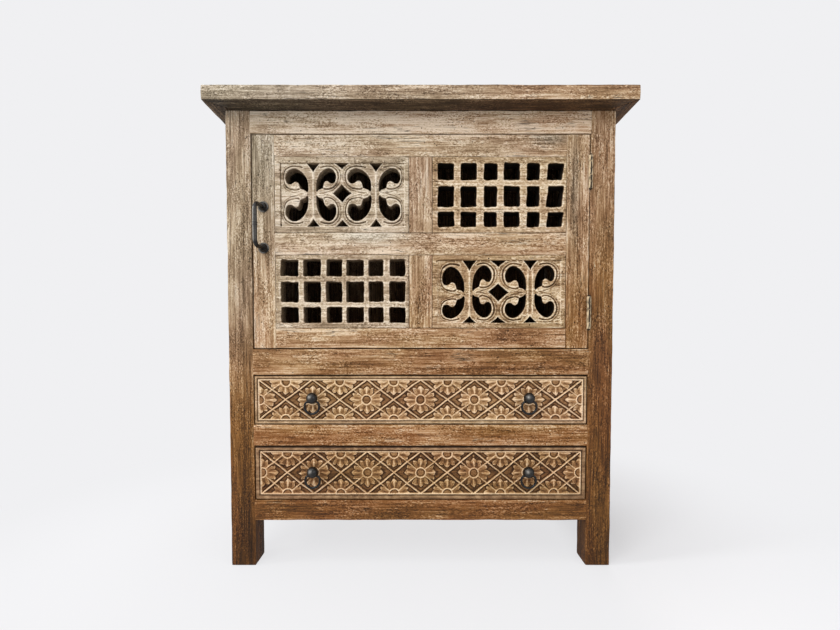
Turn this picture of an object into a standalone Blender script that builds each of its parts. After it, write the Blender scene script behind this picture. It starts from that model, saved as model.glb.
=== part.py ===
"""Carved teak cabinet: one pierced door over two carved drawers, on four corner posts.

Metres, +Z up. The front faces -Y, and the origin is on the floor under the middle of the top.
"""

import math
from collections import defaultdict

import bmesh
import bpy
from mathutils import Matrix, Vector
from mathutils.geometry import tessellate_polygon

# Case, over the posts
CASE_WIDTH = 0.746
CASE_DEPTH = 0.366
POST_WIDTH = 0.048
POST_DEPTH = 0.055

# Front, from the floor up
LEG_CLEAR = 0.090
BOTTOM_RAIL = 0.041
LOWER_OPENING = 0.107
DIVIDER_RAIL = 0.042
UPPER_OPENING = 0.097
MIDDLE_RAIL = 0.051
DOOR_OPENING = 0.411
TOP_RAIL = 0.044

# Top, with mitred edge boards
TOP_THICK = 0.027
TOP_EDGE_WIDTH = 0.075
OVERHANG_SIDE = 0.027
OVERHANG_FRONT = 0.044
OVERHANG_BACK = 0.010

# Carcass joinery
JOINT_GAP = 0.0003
RAIL_THICK = 0.030
TENON_LENGTH = 0.020
TENON_THICK = 0.012
TENON_SHOULDER = 0.008
SIDE_RAIL_THICK = 0.024
SIDE_RAIL_SETBACK = 0.005
SIDE_PANEL_THICK = 0.014
BACK_PANEL_THICK = 0.014
BACK_PANEL_SETBACK = 0.010
FLOOR_THICK = 0.016
FLOOR_LIP = 0.005
FLOOR_DADO = 0.006

# Door
DOOR_GAP = 0.002
DOOR_THICK = 0.030
STILE_WIDTH = 0.043
DOOR_TOP_RAIL = 0.0415
DOOR_MIDDLE_RAIL = 0.0425
DOOR_BOTTOM_RAIL = 0.0385
MUNTIN_WIDTH = 0.045
LOWER_PANEL_HEIGHT = 0.1405
PANEL_MARGIN = 0.010
DOOR_TENON_LENGTH = 0.015

# Grid panels: hand-cut square holes, the middle row tallest
GRID_PANEL_THICK = 0.036
GRID_COLUMNS = 6
GRID_ROW_SHARES = (0.28, 0.39, 0.33)
GRID_BAR = 0.011
GRID_CORNER = 0.004

# Scroll panels: two pairs of facing C scrolls
SCROLL_PANEL_THICK = 0.030
SCROLL_STEM = 0.016
SCROLL_BAND = 0.0095
SCROLL_SPRING = 0.024
SCROLL_HEEL = 0.0075
SCROLL_CURL = 0.0055
SCROLL_CURL_INSET = 0.020
SCROLL_BUD_WIDTH = 0.0135
SCROLL_BUD_HEIGHT = 0.0105
SCROLL_DIAMOND = 0.017
SCROLL_NOTCH_WIDTH = 0.022
SCROLL_NOTCH_DEPTH = 0.018

# Hinges
HINGE_LENGTH = 0.062
HINGE_INSET_LOWER = 0.037
HINGE_INSET_UPPER = 0.040
KNUCKLES = 5
KNUCKLE_RADIUS = 0.004
KNUCKLE_GAP = 0.0004
BARREL_PROUD = 0.0005
LEAF_THICK = 0.0014
LEAF_PROUD = 0.0004
LEAF_WIDTH = 0.020
PIN_RADIUS = 0.00175
PIN_CLEARANCE = 0.0002
PIN_HEAD_RADIUS = 0.0032
PIN_HEAD_HEIGHT = 0.003

# Bow handle
HANDLE_CENTRES = 0.0785
HANDLE_RISE = 0.0277
HANDLE_INSET = 0.020
HANDLE_REACH = 0.037
HANDLE_RADIUS = 0.0048
HANDLE_ELBOW = 0.014
HANDLE_ROSETTE = 0.0105
HANDLE_ROSETTE_HEIGHT = 0.0055
HANDLE_BEAD = 0.0060
HANDLE_BEAD_WIDTH = 0.0024
HANDLE_BEAD_STEP = 0.0035

# Drawers
DRAWER_GAP = 0.002
DRAWER_FRONT_THICK = 0.022
DRAWER_SIDE_THICK = 0.012
DRAWER_BACK_THICK = 0.012
DRAWER_BOTTOM_THICK = 0.006
DRAWER_BOTTOM_RISE = 0.006
DRAWER_HEADROOM = 0.008
DRAWER_BACK_CLEAR = 0.008
RUNNER_LEDGE = 0.028
RUNNER_THICK = 0.018
RUNNER_GUIDE = 0.008
RUNNER_GUIDE_HEIGHT = 0.030
RUNNER_SIDE_PLAY = 0.0008

# Drawer carving: a lattice of crossing ribs with a flower in each diamond
CARVE_BORDER = 0.0095
CARVE_DEPTH = 0.005
LATTICE_PITCHES = 6
LATTICE_RIB = 0.004
FLOWER_REACH_X = 0.033
FLOWER_REACH_Z = 0.0255
FLOWER_HEART = 0.50
FLOWER_SPIKE = 0.35

# Ring pulls, two to a drawer
PULL_PITCHES = 2
PULL_RISE = 0.005
PULL_STANDOFF = 0.013
BALL_RADIUS = 0.011
COLLAR_RADIUS = 0.0055
STEM_RADIUS = 0.0025
STEM_LENGTH = 0.016
RING_RADIUS = 0.014
RING_WIRE = 0.0019
RING_DROP = 0.0065
RING_HALF_CHORD = 0.0104
RING_BORE_CLEARANCE = 0.0006

# Worked out from the sizes above
TOP_WIDTH = CASE_WIDTH + 2 * OVERHANG_SIDE
TOP_DEPTH = CASE_DEPTH + OVERHANG_FRONT + OVERHANG_BACK
FRONT_Y = OVERHANG_FRONT - TOP_DEPTH / 2
BACK_Y = FRONT_Y + CASE_DEPTH
OPEN_X = CASE_WIDTH / 2 - POST_WIDTH
LOWER_Z = LEG_CLEAR + BOTTOM_RAIL
DIVIDER_Z = LOWER_Z + LOWER_OPENING
UPPER_Z = DIVIDER_Z + DIVIDER_RAIL
MIDDLE_Z = UPPER_Z + UPPER_OPENING
DOOR_Z = MIDDLE_Z + MIDDLE_RAIL
TOP_RAIL_Z = DOOR_Z + DOOR_OPENING
CASE_Z = TOP_RAIL_Z + TOP_RAIL
SIDE_PANEL_X = CASE_WIDTH / 2 - SIDE_RAIL_SETBACK - (SIDE_RAIL_THICK + SIDE_PANEL_THICK) / 2
BACK_PANEL_Y = BACK_Y - BACK_PANEL_SETBACK - BACK_PANEL_THICK
DOOR_EDGE_X = OPEN_X - DOOR_GAP
HINGE_X = OPEN_X - DOOR_GAP / 2
HINGE_Y = FRONT_Y - KNUCKLE_RADIUS - BARREL_PROUD
CUT_OVER = 0.001

SIDES = (("left", -1), ("right", 1))
mortises = defaultdict(list)
parts = {}


def linear(hex_colour):
    """An sRGB hex colour as linear RGBA."""
    values = [int(hex_colour[i : i + 2], 16) / 255 for i in (0, 2, 4)]
    return [v / 12.92 if v <= 0.04045 else ((v + 0.055) / 1.055) ** 2.4 for v in values] + [1.0]


def make_material(name, hex_colour, roughness, metallic=0.0):
    material = bpy.data.materials.new(name)
    material.use_nodes = True
    shader = material.node_tree.nodes["Principled BSDF"]
    shader.inputs["Base Color"].default_value = linear(hex_colour)
    shader.inputs["Roughness"].default_value = roughness
    shader.inputs["Metallic"].default_value = metallic
    return material


def make_empty(name, place, parent=None):
    empty = bpy.data.objects.new(name, None)
    empty.empty_display_size = 0.05
    bpy.context.scene.collection.objects.link(empty)
    empty.parent = parent
    empty.location = Vector(place) - (parent.matrix_world.translation if parent else Vector())
    bpy.context.view_layer.update()
    return empty


def add_object(name, data, centre, material, parent):
    """Links a mesh or curve whose points are relative to centre, a place in the world."""
    if material:
        data.materials.append(material)
    obj = bpy.data.objects.new(name, data)
    bpy.context.scene.collection.objects.link(obj)
    obj.parent = parent
    obj.location = Vector(centre) - parent.matrix_world.translation
    parts[name] = obj
    return obj


def add_mesh(name, points, faces, material, parent):
    """A mesh object from world points, with its origin in the middle of its box."""
    low = Vector([min(p[i] for p in points) for i in range(3)])
    high = Vector([max(p[i] for p in points) for i in range(3)])
    centre = (low + high) / 2
    mesh = bpy.data.meshes.new(name)
    mesh.from_pydata([Vector(p) - centre for p in points], [], faces)
    face_outwards(mesh)
    return add_object(name, mesh, centre, material, parent)


def face_outwards(mesh):
    shape = bmesh.new()
    shape.from_mesh(mesh)
    bmesh.ops.remove_doubles(shape, verts=shape.verts, dist=1e-7)
    bmesh.ops.recalc_face_normals(shape, faces=shape.faces)
    shape.to_mesh(mesh)
    shape.free()


def box_points(low, high):
    return [(x, y, z) for x in (low[0], high[0]) for y in (low[1], high[1]) for z in (low[2], high[2])]


BOX_FACES = [(0, 1, 3, 2), (4, 6, 7, 5), (0, 4, 5, 1), (2, 3, 7, 6), (0, 2, 6, 4), (1, 5, 7, 3)]


def add_box(name, low, high, material, parent):
    return add_mesh(name, box_points(low, high), BOX_FACES, material, parent)


def prism(loops, place, near, far):
    """A flat outline with holes, extruded. place turns (u, v, depth) into a world point."""
    flat = [[Vector((u, v, 0)) for u, v in loop] for loop in loops]
    corners = [point for loop in flat for point in loop]
    count = len(corners)
    points = [place(p.x, p.y, near) for p in corners] + [place(p.x, p.y, far) for p in corners]
    faces = []
    for triangle in tessellate_polygon(flat):
        faces.append(tuple(triangle))
        faces.append(tuple(i + count for i in reversed(triangle)))
    start = 0
    for loop in loops:
        ring = list(range(start, start + len(loop)))
        for i, j in zip(ring, ring[1:] + ring[:1]):
            faces.append((i, j, j + count, i + count))
        start += len(loop)
    return points, faces


def add_prism(name, loops, place, near, far, material, parent):
    return add_mesh(name, *prism(loops, place, near, far), material, parent)


def joined(shapes):
    """The points and faces of several separate shapes as one list of each."""
    points, faces = [], []
    for shape_points, shape_faces in shapes:
        faces += [tuple(i + len(points) for i in face) for face in shape_faces]
        points += shape_points
    return points, faces


def on_front(u, v, depth):
    return (u, depth, v)


def on_floor(u, v, depth):
    return (u, v, depth)


def arc(centre, radii, start, end, count):
    """count points along an ellipse's arc, in degrees."""
    angles = [math.radians(start + (end - start) * i / (count - 1)) for i in range(count)]
    return [(centre[0] + radii[0] * math.cos(a), centre[1] + radii[1] * math.sin(a)) for a in angles]


def add_tenoned(name, axis, low, high, tenon_length, into, material, parent):
    """A bar with a stub tenon at each end, which cuts its mortises into the two pieces named."""
    u, v = [i for i in range(3) if i != axis]
    thin = u if high[u] - low[u] < high[v] - low[v] else v
    tenon_low, tenon_high = list(low), list(high)
    for i in (u, v):
        middle = (low[i] + high[i]) / 2
        half = TENON_THICK / 2 if i == thin else (high[i] - low[i]) / 2 - TENON_SHOULDER
        tenon_low[i], tenon_high[i] = middle - half, middle + half
    stations = [
        (low[axis] - tenon_length, tenon_low, tenon_high),
        (low[axis], tenon_low, tenon_high),
        (low[axis], low, high),
        (high[axis], low, high),
        (high[axis], tenon_low, tenon_high),
        (high[axis] + tenon_length, tenon_low, tenon_high),
    ]
    points, faces = [], []
    for along, near, far in stations:
        for side_u, side_v in ((near, near), (far, near), (far, far), (near, far)):
            point = [0, 0, 0]
            point[axis], point[u], point[v] = along, side_u[u], side_v[v]
            points.append(tuple(point))
    for k in range(len(stations) - 1):
        for i in range(4):
            j = (i + 1) % 4
            faces.append((4 * k + i, 4 * k + j, 4 * k + 4 + j, 4 * k + 4 + i))
    last = 4 * (len(stations) - 1)
    faces += [(3, 2, 1, 0), (last, last + 1, last + 2, last + 3)]
    for piece, start in zip(into, (low[axis] - tenon_length, high[axis])):
        grown_low = [c - JOINT_GAP for c in tenon_low]
        grown_high = [c + JOINT_GAP for c in tenon_high]
        grown_low[axis] = start - JOINT_GAP
        grown_high[axis] = start + tenon_length + JOINT_GAP
        mortises[piece].append((grown_low, grown_high))
    return add_mesh(name, points, faces, material, parent)


def cut(piece, cutter, operation="DIFFERENCE"):
    """Leaves a Boolean on the piece, with its cutter as a hidden helper."""
    cutter.hide_render = True
    cutter.display_type = "WIRE"
    modifier = parts[piece].modifiers.new(cutter.name, "BOOLEAN")
    modifier.operation = operation
    modifier.solver = "EXACT"
    modifier.object = cutter


def cut_mortises():
    for piece, boxes in mortises.items():
        shapes = [(box_points(low, high), BOX_FACES) for low, high in boxes]
        cut(piece, add_mesh(piece + "_mortises", *joined(shapes), None, parts[piece].parent))


def turned(profile, steps, turn):
    """A mesh turned from (radius, height) points about Z, then turned by a matrix."""
    shape = bmesh.new()
    chain = [shape.verts.new((radius, 0, height)) for radius, height in profile]
    edges = [shape.edges.new(pair) for pair in zip(chain, chain[1:])]
    bmesh.ops.spin(
        shape, geom=chain + edges, cent=(0, 0, 0), axis=(0, 0, 1), angle=2 * math.pi, steps=steps
    )
    bmesh.ops.remove_doubles(shape, verts=shape.verts, dist=1e-6)
    bmesh.ops.recalc_face_normals(shape, faces=shape.faces)
    bmesh.ops.transform(shape, matrix=turn, verts=shape.verts)
    mesh = bpy.data.meshes.new("turned")
    shape.to_mesh(mesh)
    shape.free()
    mesh.shade_smooth()
    mesh.set_sharp_from_angle(angle=math.radians(40))
    return mesh


def add_tube(name, route, radius, cyclic, centre, material, parent, swell=None):
    """A round bar along world points, as a curve. swell gives each point's share of the radius."""
    curve = bpy.data.curves.new(name, "CURVE")
    curve.dimensions = "3D"
    curve.bevel_depth = radius
    curve.bevel_resolution = 2
    curve.use_fill_caps = not cyclic
    spline = curve.splines.new("POLY")
    spline.points.add(len(route) - 1)
    for i, place in enumerate(route):
        spline.points[i].co = (*(Vector(place) - Vector(centre)), 1)
        spline.points[i].radius = swell[i] if swell else 1.0
    spline.use_cyclic_u = cyclic
    return add_object(name, curve, centre, material, parent)


def build_posts(material, parent):
    half = CASE_WIDTH / 2
    for side, sign in SIDES:
        x = sorted((sign * half, sign * OPEN_X))
        for end, y in (("front", (FRONT_Y, FRONT_Y + POST_DEPTH)), ("rear", (BACK_Y - POST_DEPTH, BACK_Y))):
            low, high = (x[0], y[0], 0), (x[1], y[1], CASE_Z - JOINT_GAP)
            add_box(f"post_{end}_{side}", low, high, material, parent)


def build_rails(material, parent):
    front = (
        ("front_bottom_rail", LEG_CLEAR, BOTTOM_RAIL),
        ("drawer_divider_rail", DIVIDER_Z, DIVIDER_RAIL),
        ("front_middle_rail", MIDDLE_Z, MIDDLE_RAIL),
        ("front_top_rail", TOP_RAIL_Z, TOP_RAIL - JOINT_GAP),
    )
    reach = OPEN_X - JOINT_GAP
    for name, z, height in front:
        low = (-reach, FRONT_Y, z)
        high = (reach, FRONT_Y + RAIL_THICK, z + height)
        posts = ("post_front_left", "post_front_right")
        add_tenoned(name, 0, low, high, TENON_LENGTH, posts, material, parent)
    y0, y1 = FRONT_Y + POST_DEPTH + JOINT_GAP, BACK_Y - POST_DEPTH - JOINT_GAP
    outer = CASE_WIDTH / 2 - SIDE_RAIL_SETBACK
    for side, sign in SIDES:
        x = sorted((sign * outer, sign * (outer - SIDE_RAIL_THICK)))
        posts = (f"post_front_{side}", f"post_rear_{side}")
        for level, z0, z1 in (("bottom", LEG_CLEAR, LOWER_Z), ("top", TOP_RAIL_Z, CASE_Z - JOINT_GAP)):
            low, high = (x[0], y0, z0), (x[1], y1, z1)
            add_tenoned(f"side_{level}_rail_{side}", 1, low, high, TENON_LENGTH, posts, material, parent)


def build_panels(material, parent):
    """Side panels, back panel and the cupboard floor, which is let into the side panels."""
    y0, y1 = FRONT_Y + POST_DEPTH + JOINT_GAP, BACK_Y - POST_DEPTH - JOINT_GAP
    z0, z1 = LOWER_Z + JOINT_GAP, TOP_RAIL_Z - JOINT_GAP
    floor_low, floor_high = DOOR_Z + FLOOR_LIP - FLOOR_THICK, DOOR_Z + FLOOR_LIP
    for side, sign in SIDES:
        x = sorted((sign * SIDE_PANEL_X, sign * (SIDE_PANEL_X + SIDE_PANEL_THICK)))
        add_box(f"side_panel_{side}", (x[0], y0, z0), (x[1], y1, z1), material, parent)
        groove = sorted((sign * (SIDE_PANEL_X - CUT_OVER), sign * (SIDE_PANEL_X + FLOOR_DADO)))
        low = (groove[0], y0 - CUT_OVER, floor_low - JOINT_GAP)
        high = (groove[1], y1 + CUT_OVER, floor_high + JOINT_GAP)
        mortises[f"side_panel_{side}"].append((low, high))
    reach = OPEN_X - JOINT_GAP
    low = (-reach, BACK_PANEL_Y, LEG_CLEAR)
    high = (reach, BACK_PANEL_Y + BACK_PANEL_THICK, CASE_Z - JOINT_GAP)
    add_box("back_panel", low, high, material, parent)
    wide = SIDE_PANEL_X + FLOOR_DADO - JOINT_GAP
    front = FRONT_Y + max(RAIL_THICK, DOOR_THICK) + JOINT_GAP
    back = BACK_PANEL_Y - JOINT_GAP
    half = [(reach, front), (reach, y0), (wide, y0), (wide, y1), (reach, y1), (reach, back)]
    outline = half + [(-x, y) for x, y in reversed(half)]
    add_prism("cupboard_floor", [outline], on_floor, floor_low, floor_high, material, parent)


def build_top(material, parent):
    x, edge = TOP_WIDTH / 2, TOP_EDGE_WIDTH
    front, back = -TOP_DEPTH / 2, TOP_DEPTH / 2
    mitre = JOINT_GAP * math.sqrt(2)
    z0, z1 = CASE_Z, CASE_Z + TOP_THICK
    outline = [(-x, front), (x, front), (x - edge, front + edge), (edge - x, front + edge)]
    add_prism("top_front_board", [outline], on_floor, z0, z1, material, parent)
    for side, sign in SIDES:
        outline = [
            (sign * x, front + mitre),
            (sign * x, back),
            (sign * (x - edge), back),
            (sign * (x - edge), front + edge + mitre),
        ]
        add_prism(f"top_{side}_board", [outline], on_floor, z0, z1, material, parent)
    inner = x - edge - JOINT_GAP
    add_box("top_panel", (-inner, front + edge + JOINT_GAP, z0), (inner, back, z1), material, parent)


def hinge_heights():
    """The lower end of each hinge, by its name."""
    door_low, door_high = DOOR_Z + DOOR_GAP, TOP_RAIL_Z - DOOR_GAP
    return {
        "lower": door_low + HINGE_INSET_LOWER,
        "upper": door_high - HINGE_INSET_UPPER - HINGE_LENGTH,
    }


def knuckle_outline(sign):
    """One knuckle's section about the pin, with the tab that runs back into its leaf on this side."""
    tab_inner = sign * (DOOR_GAP / 2 - LEAF_PROUD + JOINT_GAP / 4)
    tab_outer = sign * (DOOR_GAP / 2 - LEAF_PROUD + LEAF_THICK - JOINT_GAP / 4)
    tab_end = KNUCKLE_RADIUS + KNUCKLE_GAP + LEAF_WIDTH / 4
    start = math.degrees(math.atan2(math.sqrt(KNUCKLE_RADIUS**2 - tab_inner**2), tab_inner))
    end = math.degrees(math.atan2(math.sqrt(KNUCKLE_RADIUS**2 - tab_outer**2), tab_outer))
    barrel = arc((0, 0), (KNUCKLE_RADIUS, KNUCKLE_RADIUS), start, end + sign * 360, 18)
    return barrel + [(tab_outer, tab_end), (tab_inner, tab_end)]


def build_hinge(which, z0, materials, case, door):
    """A butt hinge: both leaves, let into the post and the stile, and its pin."""
    knuckle = (HINGE_LENGTH - (KNUCKLES - 1) * KNUCKLE_GAP) / KNUCKLES
    hole_radius = PIN_RADIUS + PIN_CLEARANCE
    hole = arc((0, 0), (hole_radius, hole_radius), 0, 360, 17)[:-1]
    y0 = HINGE_Y + KNUCKLE_RADIUS + KNUCKLE_GAP
    for leaf, sign, first, receiver, parent in (
        ("frame", 1, 0, "post_front_right", case),
        ("door", -1, 1, "door_hinge_stile", door),
    ):
        name = f"{which}_hinge_{leaf}_leaf"
        wall = HINGE_X + sign * DOOR_GAP / 2
        x = sorted((wall - sign * LEAF_PROUD, wall - sign * LEAF_PROUD + sign * LEAF_THICK))
        add_box(name, (x[0], y0, z0), (x[1], y0 + LEAF_WIDTH, z0 + HINGE_LENGTH), materials["hinge"], parent)
        loops = [[(u + HINGE_X, v + HINGE_Y) for u, v in loop] for loop in (knuckle_outline(sign), hole)]
        starts = [z0 + i * (knuckle + KNUCKLE_GAP) for i in range(first, KNUCKLES, 2)]
        knuckles = joined([prism(loops, on_floor, low, low + knuckle) for low in starts])
        cut(name, add_mesh(f"{name}_knuckles", *knuckles, None, parent), "UNION")
        deep = wall - sign * LEAF_PROUD + sign * (LEAF_THICK + JOINT_GAP)
        pocket = sorted((wall - sign * CUT_OVER, deep))
        low = (pocket[0], FRONT_Y - CUT_OVER, z0 - JOINT_GAP)
        high = (pocket[1], y0 + LEAF_WIDTH + JOINT_GAP, z0 + HINGE_LENGTH + JOINT_GAP)
        mortises[receiver].append((low, high))
    end = HINGE_LENGTH / 2 + JOINT_GAP
    tip = end + PIN_HEAD_HEIGHT
    half = [(0, tip), (PIN_HEAD_RADIUS * 0.7, tip - PIN_HEAD_HEIGHT * 0.2), (PIN_HEAD_RADIUS, end)]
    half.append((PIN_RADIUS, end))
    pin = turned(half + [(r, -h) for r, h in reversed(half)], 16, Matrix.Identity(4))
    place = (HINGE_X, HINGE_Y, z0 + HINGE_LENGTH / 2)
    add_object(f"{which}_hinge_pin", pin, place, materials["hinge"], case)


def scroll_hole(cell, half_height):
    """The upper hole of one scroll: u from the stem outwards, v up from the middle."""
    inner, outer = SCROLL_STEM / 2, cell - SCROLL_BAND
    middle, reach = (inner + outer) / 2, (outer - inner) / 2
    rise = half_height - SCROLL_BAND - SCROLL_SPRING
    curl = (outer - SCROLL_CURL_INSET, SCROLL_SPRING - SCROLL_CURL)
    heel = (outer - SCROLL_HEEL, SCROLL_SPRING)
    outline = arc((middle, SCROLL_SPRING), (reach, rise), 180, 0, 14)
    outline += arc(heel, (SCROLL_HEEL, SCROLL_HEEL), 0, -90, 5)[1:]
    outline += arc(curl, (SCROLL_CURL, SCROLL_CURL), 10, 190, 7)
    outline += [
        (inner + SCROLL_BUD_WIDTH, SCROLL_BUD_HEIGHT),
        (inner + SCROLL_BUD_WIDTH / 2, SCROLL_BUD_HEIGHT * 0.68),
        (inner, SCROLL_BUD_HEIGHT * 0.3),
    ]
    return outline


def rectangle(width, height):
    x, z = width / 2, height / 2
    return [(-x, -z), (x, -z), (x, z), (-x, z)]


def scroll_loops(centre, width, height):
    """A scroll panel's outline and its holes: eight in the scrolls, a diamond and six notches."""
    field = height / 2 - PANEL_MARGIN
    cell = (width / 2 - PANEL_MARGIN) / 2
    loops = [rectangle(width, height)]
    hole = scroll_hole(cell, field)
    for stem in (-cell, cell):
        for across in (-1, 1):
            for up in (-1, 1):
                loops.append([(stem + across * u, up * v) for u, v in hole])
    loops.append([(SCROLL_DIAMOND, 0), (0, SCROLL_DIAMOND), (-SCROLL_DIAMOND, 0), (0, -SCROLL_DIAMOND)])
    for x, share in ((-cell, 1.0), (0, 0.7), (cell, 1.0)):
        for up in (-1, 1):
            base = share * SCROLL_NOTCH_WIDTH / 2
            depth = share * SCROLL_NOTCH_DEPTH
            loops.append([(x - base, up * field), (x + base, up * field), (x, up * (field - depth))])
    return [[(centre[0] + u, centre[1] + v) for u, v in loop] for loop in loops]


def grid_loops(centre, width, height):
    """A grid panel's outline and its rounded square holes."""
    loops = [rectangle(width, height)]
    field_width, field_height = width - 2 * PANEL_MARGIN, height - 2 * PANEL_MARGIN
    hole_width = (field_width - (GRID_COLUMNS - 1) * GRID_BAR) / GRID_COLUMNS
    holes_height = field_height - (len(GRID_ROW_SHARES) - 1) * GRID_BAR
    bottom = -field_height / 2
    for share in GRID_ROW_SHARES:
        top = bottom + share * holes_height
        for column in range(GRID_COLUMNS):
            left = -field_width / 2 + column * (hole_width + GRID_BAR)
            right = left + hole_width
            c = GRID_CORNER
            loops.append([
                (left + c, bottom), (right - c, bottom), (right, bottom + c), (right, top - c),
                (right - c, top), (left + c, top), (left, top - c), (left, bottom + c),
            ])
        bottom = top + GRID_BAR
    return [[(centre[0] + u, centre[1] + v) for u, v in loop] for loop in loops]


def build_door(materials, parent):
    wood, carved = materials["door"], materials["carved"]
    x = DOOR_EDGE_X
    z0, z1 = DOOR_Z + DOOR_GAP, TOP_RAIL_Z - DOOR_GAP
    y0, y1 = FRONT_Y, FRONT_Y + DOOR_THICK
    inner = x - STILE_WIDTH
    add_box("door_handle_stile", (-x, y0, z0), (-inner, y1, z1), wood, parent)
    add_box("door_hinge_stile", (inner, y0, z0), (x, y1, z1), wood, parent)
    lower_top = z0 + DOOR_BOTTOM_RAIL + LOWER_PANEL_HEIGHT
    rails = {
        "bottom": (z0, z0 + DOOR_BOTTOM_RAIL),
        "middle": (lower_top, lower_top + DOOR_MIDDLE_RAIL),
        "top": (z1 - DOOR_TOP_RAIL, z1),
    }
    reach = inner - JOINT_GAP
    stiles = ("door_handle_stile", "door_hinge_stile")
    for name, (low, high) in rails.items():
        start, end = (-reach, y0, low), (reach, y1, high)
        add_tenoned(f"door_{name}_rail", 0, start, end, DOOR_TENON_LENGTH, stiles, wood, parent)
    panel_x = (inner + MUNTIN_WIDTH / 2) / 2
    panel_width = inner - MUNTIN_WIDTH / 2 - 2 * JOINT_GAP
    for row, below, above in (("lower", "bottom", "middle"), ("upper", "middle", "top")):
        low, high = rails[below][1] + JOINT_GAP, rails[above][0] - JOINT_GAP
        start, end = (-MUNTIN_WIDTH / 2, y0, low), (MUNTIN_WIDTH / 2, y1, high)
        into = (f"door_{below}_rail", f"door_{above}_rail")
        add_tenoned(f"door_{row}_muntin", 2, start, end, DOOR_TENON_LENGTH / 2, into, wood, parent)
        scroll_sign = 1 if row == "lower" else -1
        for side, sign in SIDES:
            centre = (sign * panel_x, (low + high) / 2)
            scroll = sign == scroll_sign
            loops = (scroll_loops if scroll else grid_loops)(centre, panel_width, high - low)
            back = FRONT_Y + (SCROLL_PANEL_THICK if scroll else GRID_PANEL_THICK)
            kind = "scroll" if scroll else "grid"
            add_prism(f"{kind}_panel_{row}_{side}", loops, on_front, y0, back, carved, parent)


def build_handle(material, parent):
    """A bow handle: rosettes on the stile, two elbows and a beaded bar, as one swelling tube."""
    x = -DOOR_EDGE_X + HANDLE_INSET
    z = (DOOR_Z + TOP_RAIL_Z) / 2 + HANDLE_RISE
    face = FRONT_Y - JOINT_GAP
    half, reach, elbow = HANDLE_CENTRES / 2, HANDLE_REACH, HANDLE_ELBOW
    rosette = HANDLE_ROSETTE / HANDLE_RADIUS
    steps = [(0, rosette), (0.36, rosette), (0.73, 0.86 * rosette), (1.0, 0.6 * rosette), (1.36, 1.15)]
    end = [(share * HANDLE_ROSETTE_HEIGHT, half, swell) for share, swell in steps]
    end += [(*place, 1.0) for place in arc((reach - elbow, half - elbow), (elbow, elbow), 90, 0, 6)]
    profile = (HANDLE_RADIUS, HANDLE_BEAD, HANDLE_BEAD, HANDLE_RADIUS)
    beads = []
    for middle in (HANDLE_BEAD_STEP / 2, -HANDLE_BEAD_STEP / 2):
        for share, radius in zip((0.5, 0.25, -0.25, -0.5), profile):
            beads.append((reach, middle + share * HANDLE_BEAD_WIDTH, radius / HANDLE_RADIUS))
    route = end + beads + [(depth, -height, swell) for depth, height, swell in reversed(end)]
    places = [(x, face - depth, z + height) for depth, height, _ in route]
    swells = [swell for _, _, swell in route]
    add_tube("door_handle", places, HANDLE_RADIUS, False, (x, face - reach / 2, z), material, parent, swells)


def flower(start, end, count):
    """Part of a flower's outline about its centre: wide petals on the axes, narrow ones between."""
    outline = []
    for i in range(count):
        angle = math.radians(start + (end - start) * i / (count - 1))
        petal = max(0, math.cos(4 * angle)) ** 0.7
        spike = max(0, -math.cos(4 * angle)) ** 3
        share = FLOWER_HEART + (1 - FLOWER_HEART) * petal + FLOWER_SPIKE * spike
        outline.append((FLOWER_REACH_X * share * math.cos(angle), FLOWER_REACH_Z * share * math.sin(angle)))
    return outline


def carving_pockets(half_width, half_height):
    """Outlines of the sunk ground between ribs, flowers and border: each an outer loop and any island."""
    pitch = 2 * half_width / LATTICE_PITCHES
    a, b = pitch / 2, half_height
    shrink = LATTICE_RIB / 2 * math.hypot(1 / a, 1 / b)
    full = 1 - shrink
    pockets = []
    for k in range(1, LATTICE_PITCHES):
        x = -half_width + k * pitch
        diamond = [(x + a * full, 0), (x, b * full), (x - a * full, 0), (x, -b * full)]
        pockets.append([diamond, [(x + u, v) for u, v in flower(0, 360, 33)[:-1]]])
    half_flower = flower(180, 360, 17)
    for k in range(LATTICE_PITCHES):
        x = -half_width + (k + 0.5) * pitch
        petals = [(x + u, b + v) for u, v in half_flower]
        triangle = [(x - a * full, b), *petals, (x + a * full, b), (x, b * shrink)]
        pockets.append([triangle])
        pockets.append([[(u, -v) for u, v in triangle]])
    side_flower = flower(-90, 90, 17)
    for sign in (-1, 1):
        edge = sign * half_width
        outline = [(edge, -b * full), *[(edge - sign * u, v) for u, v in side_flower], (edge, b * full)]
        outline.append((edge - sign * a * full, 0))
        pockets.append([outline])
    return pockets


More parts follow.
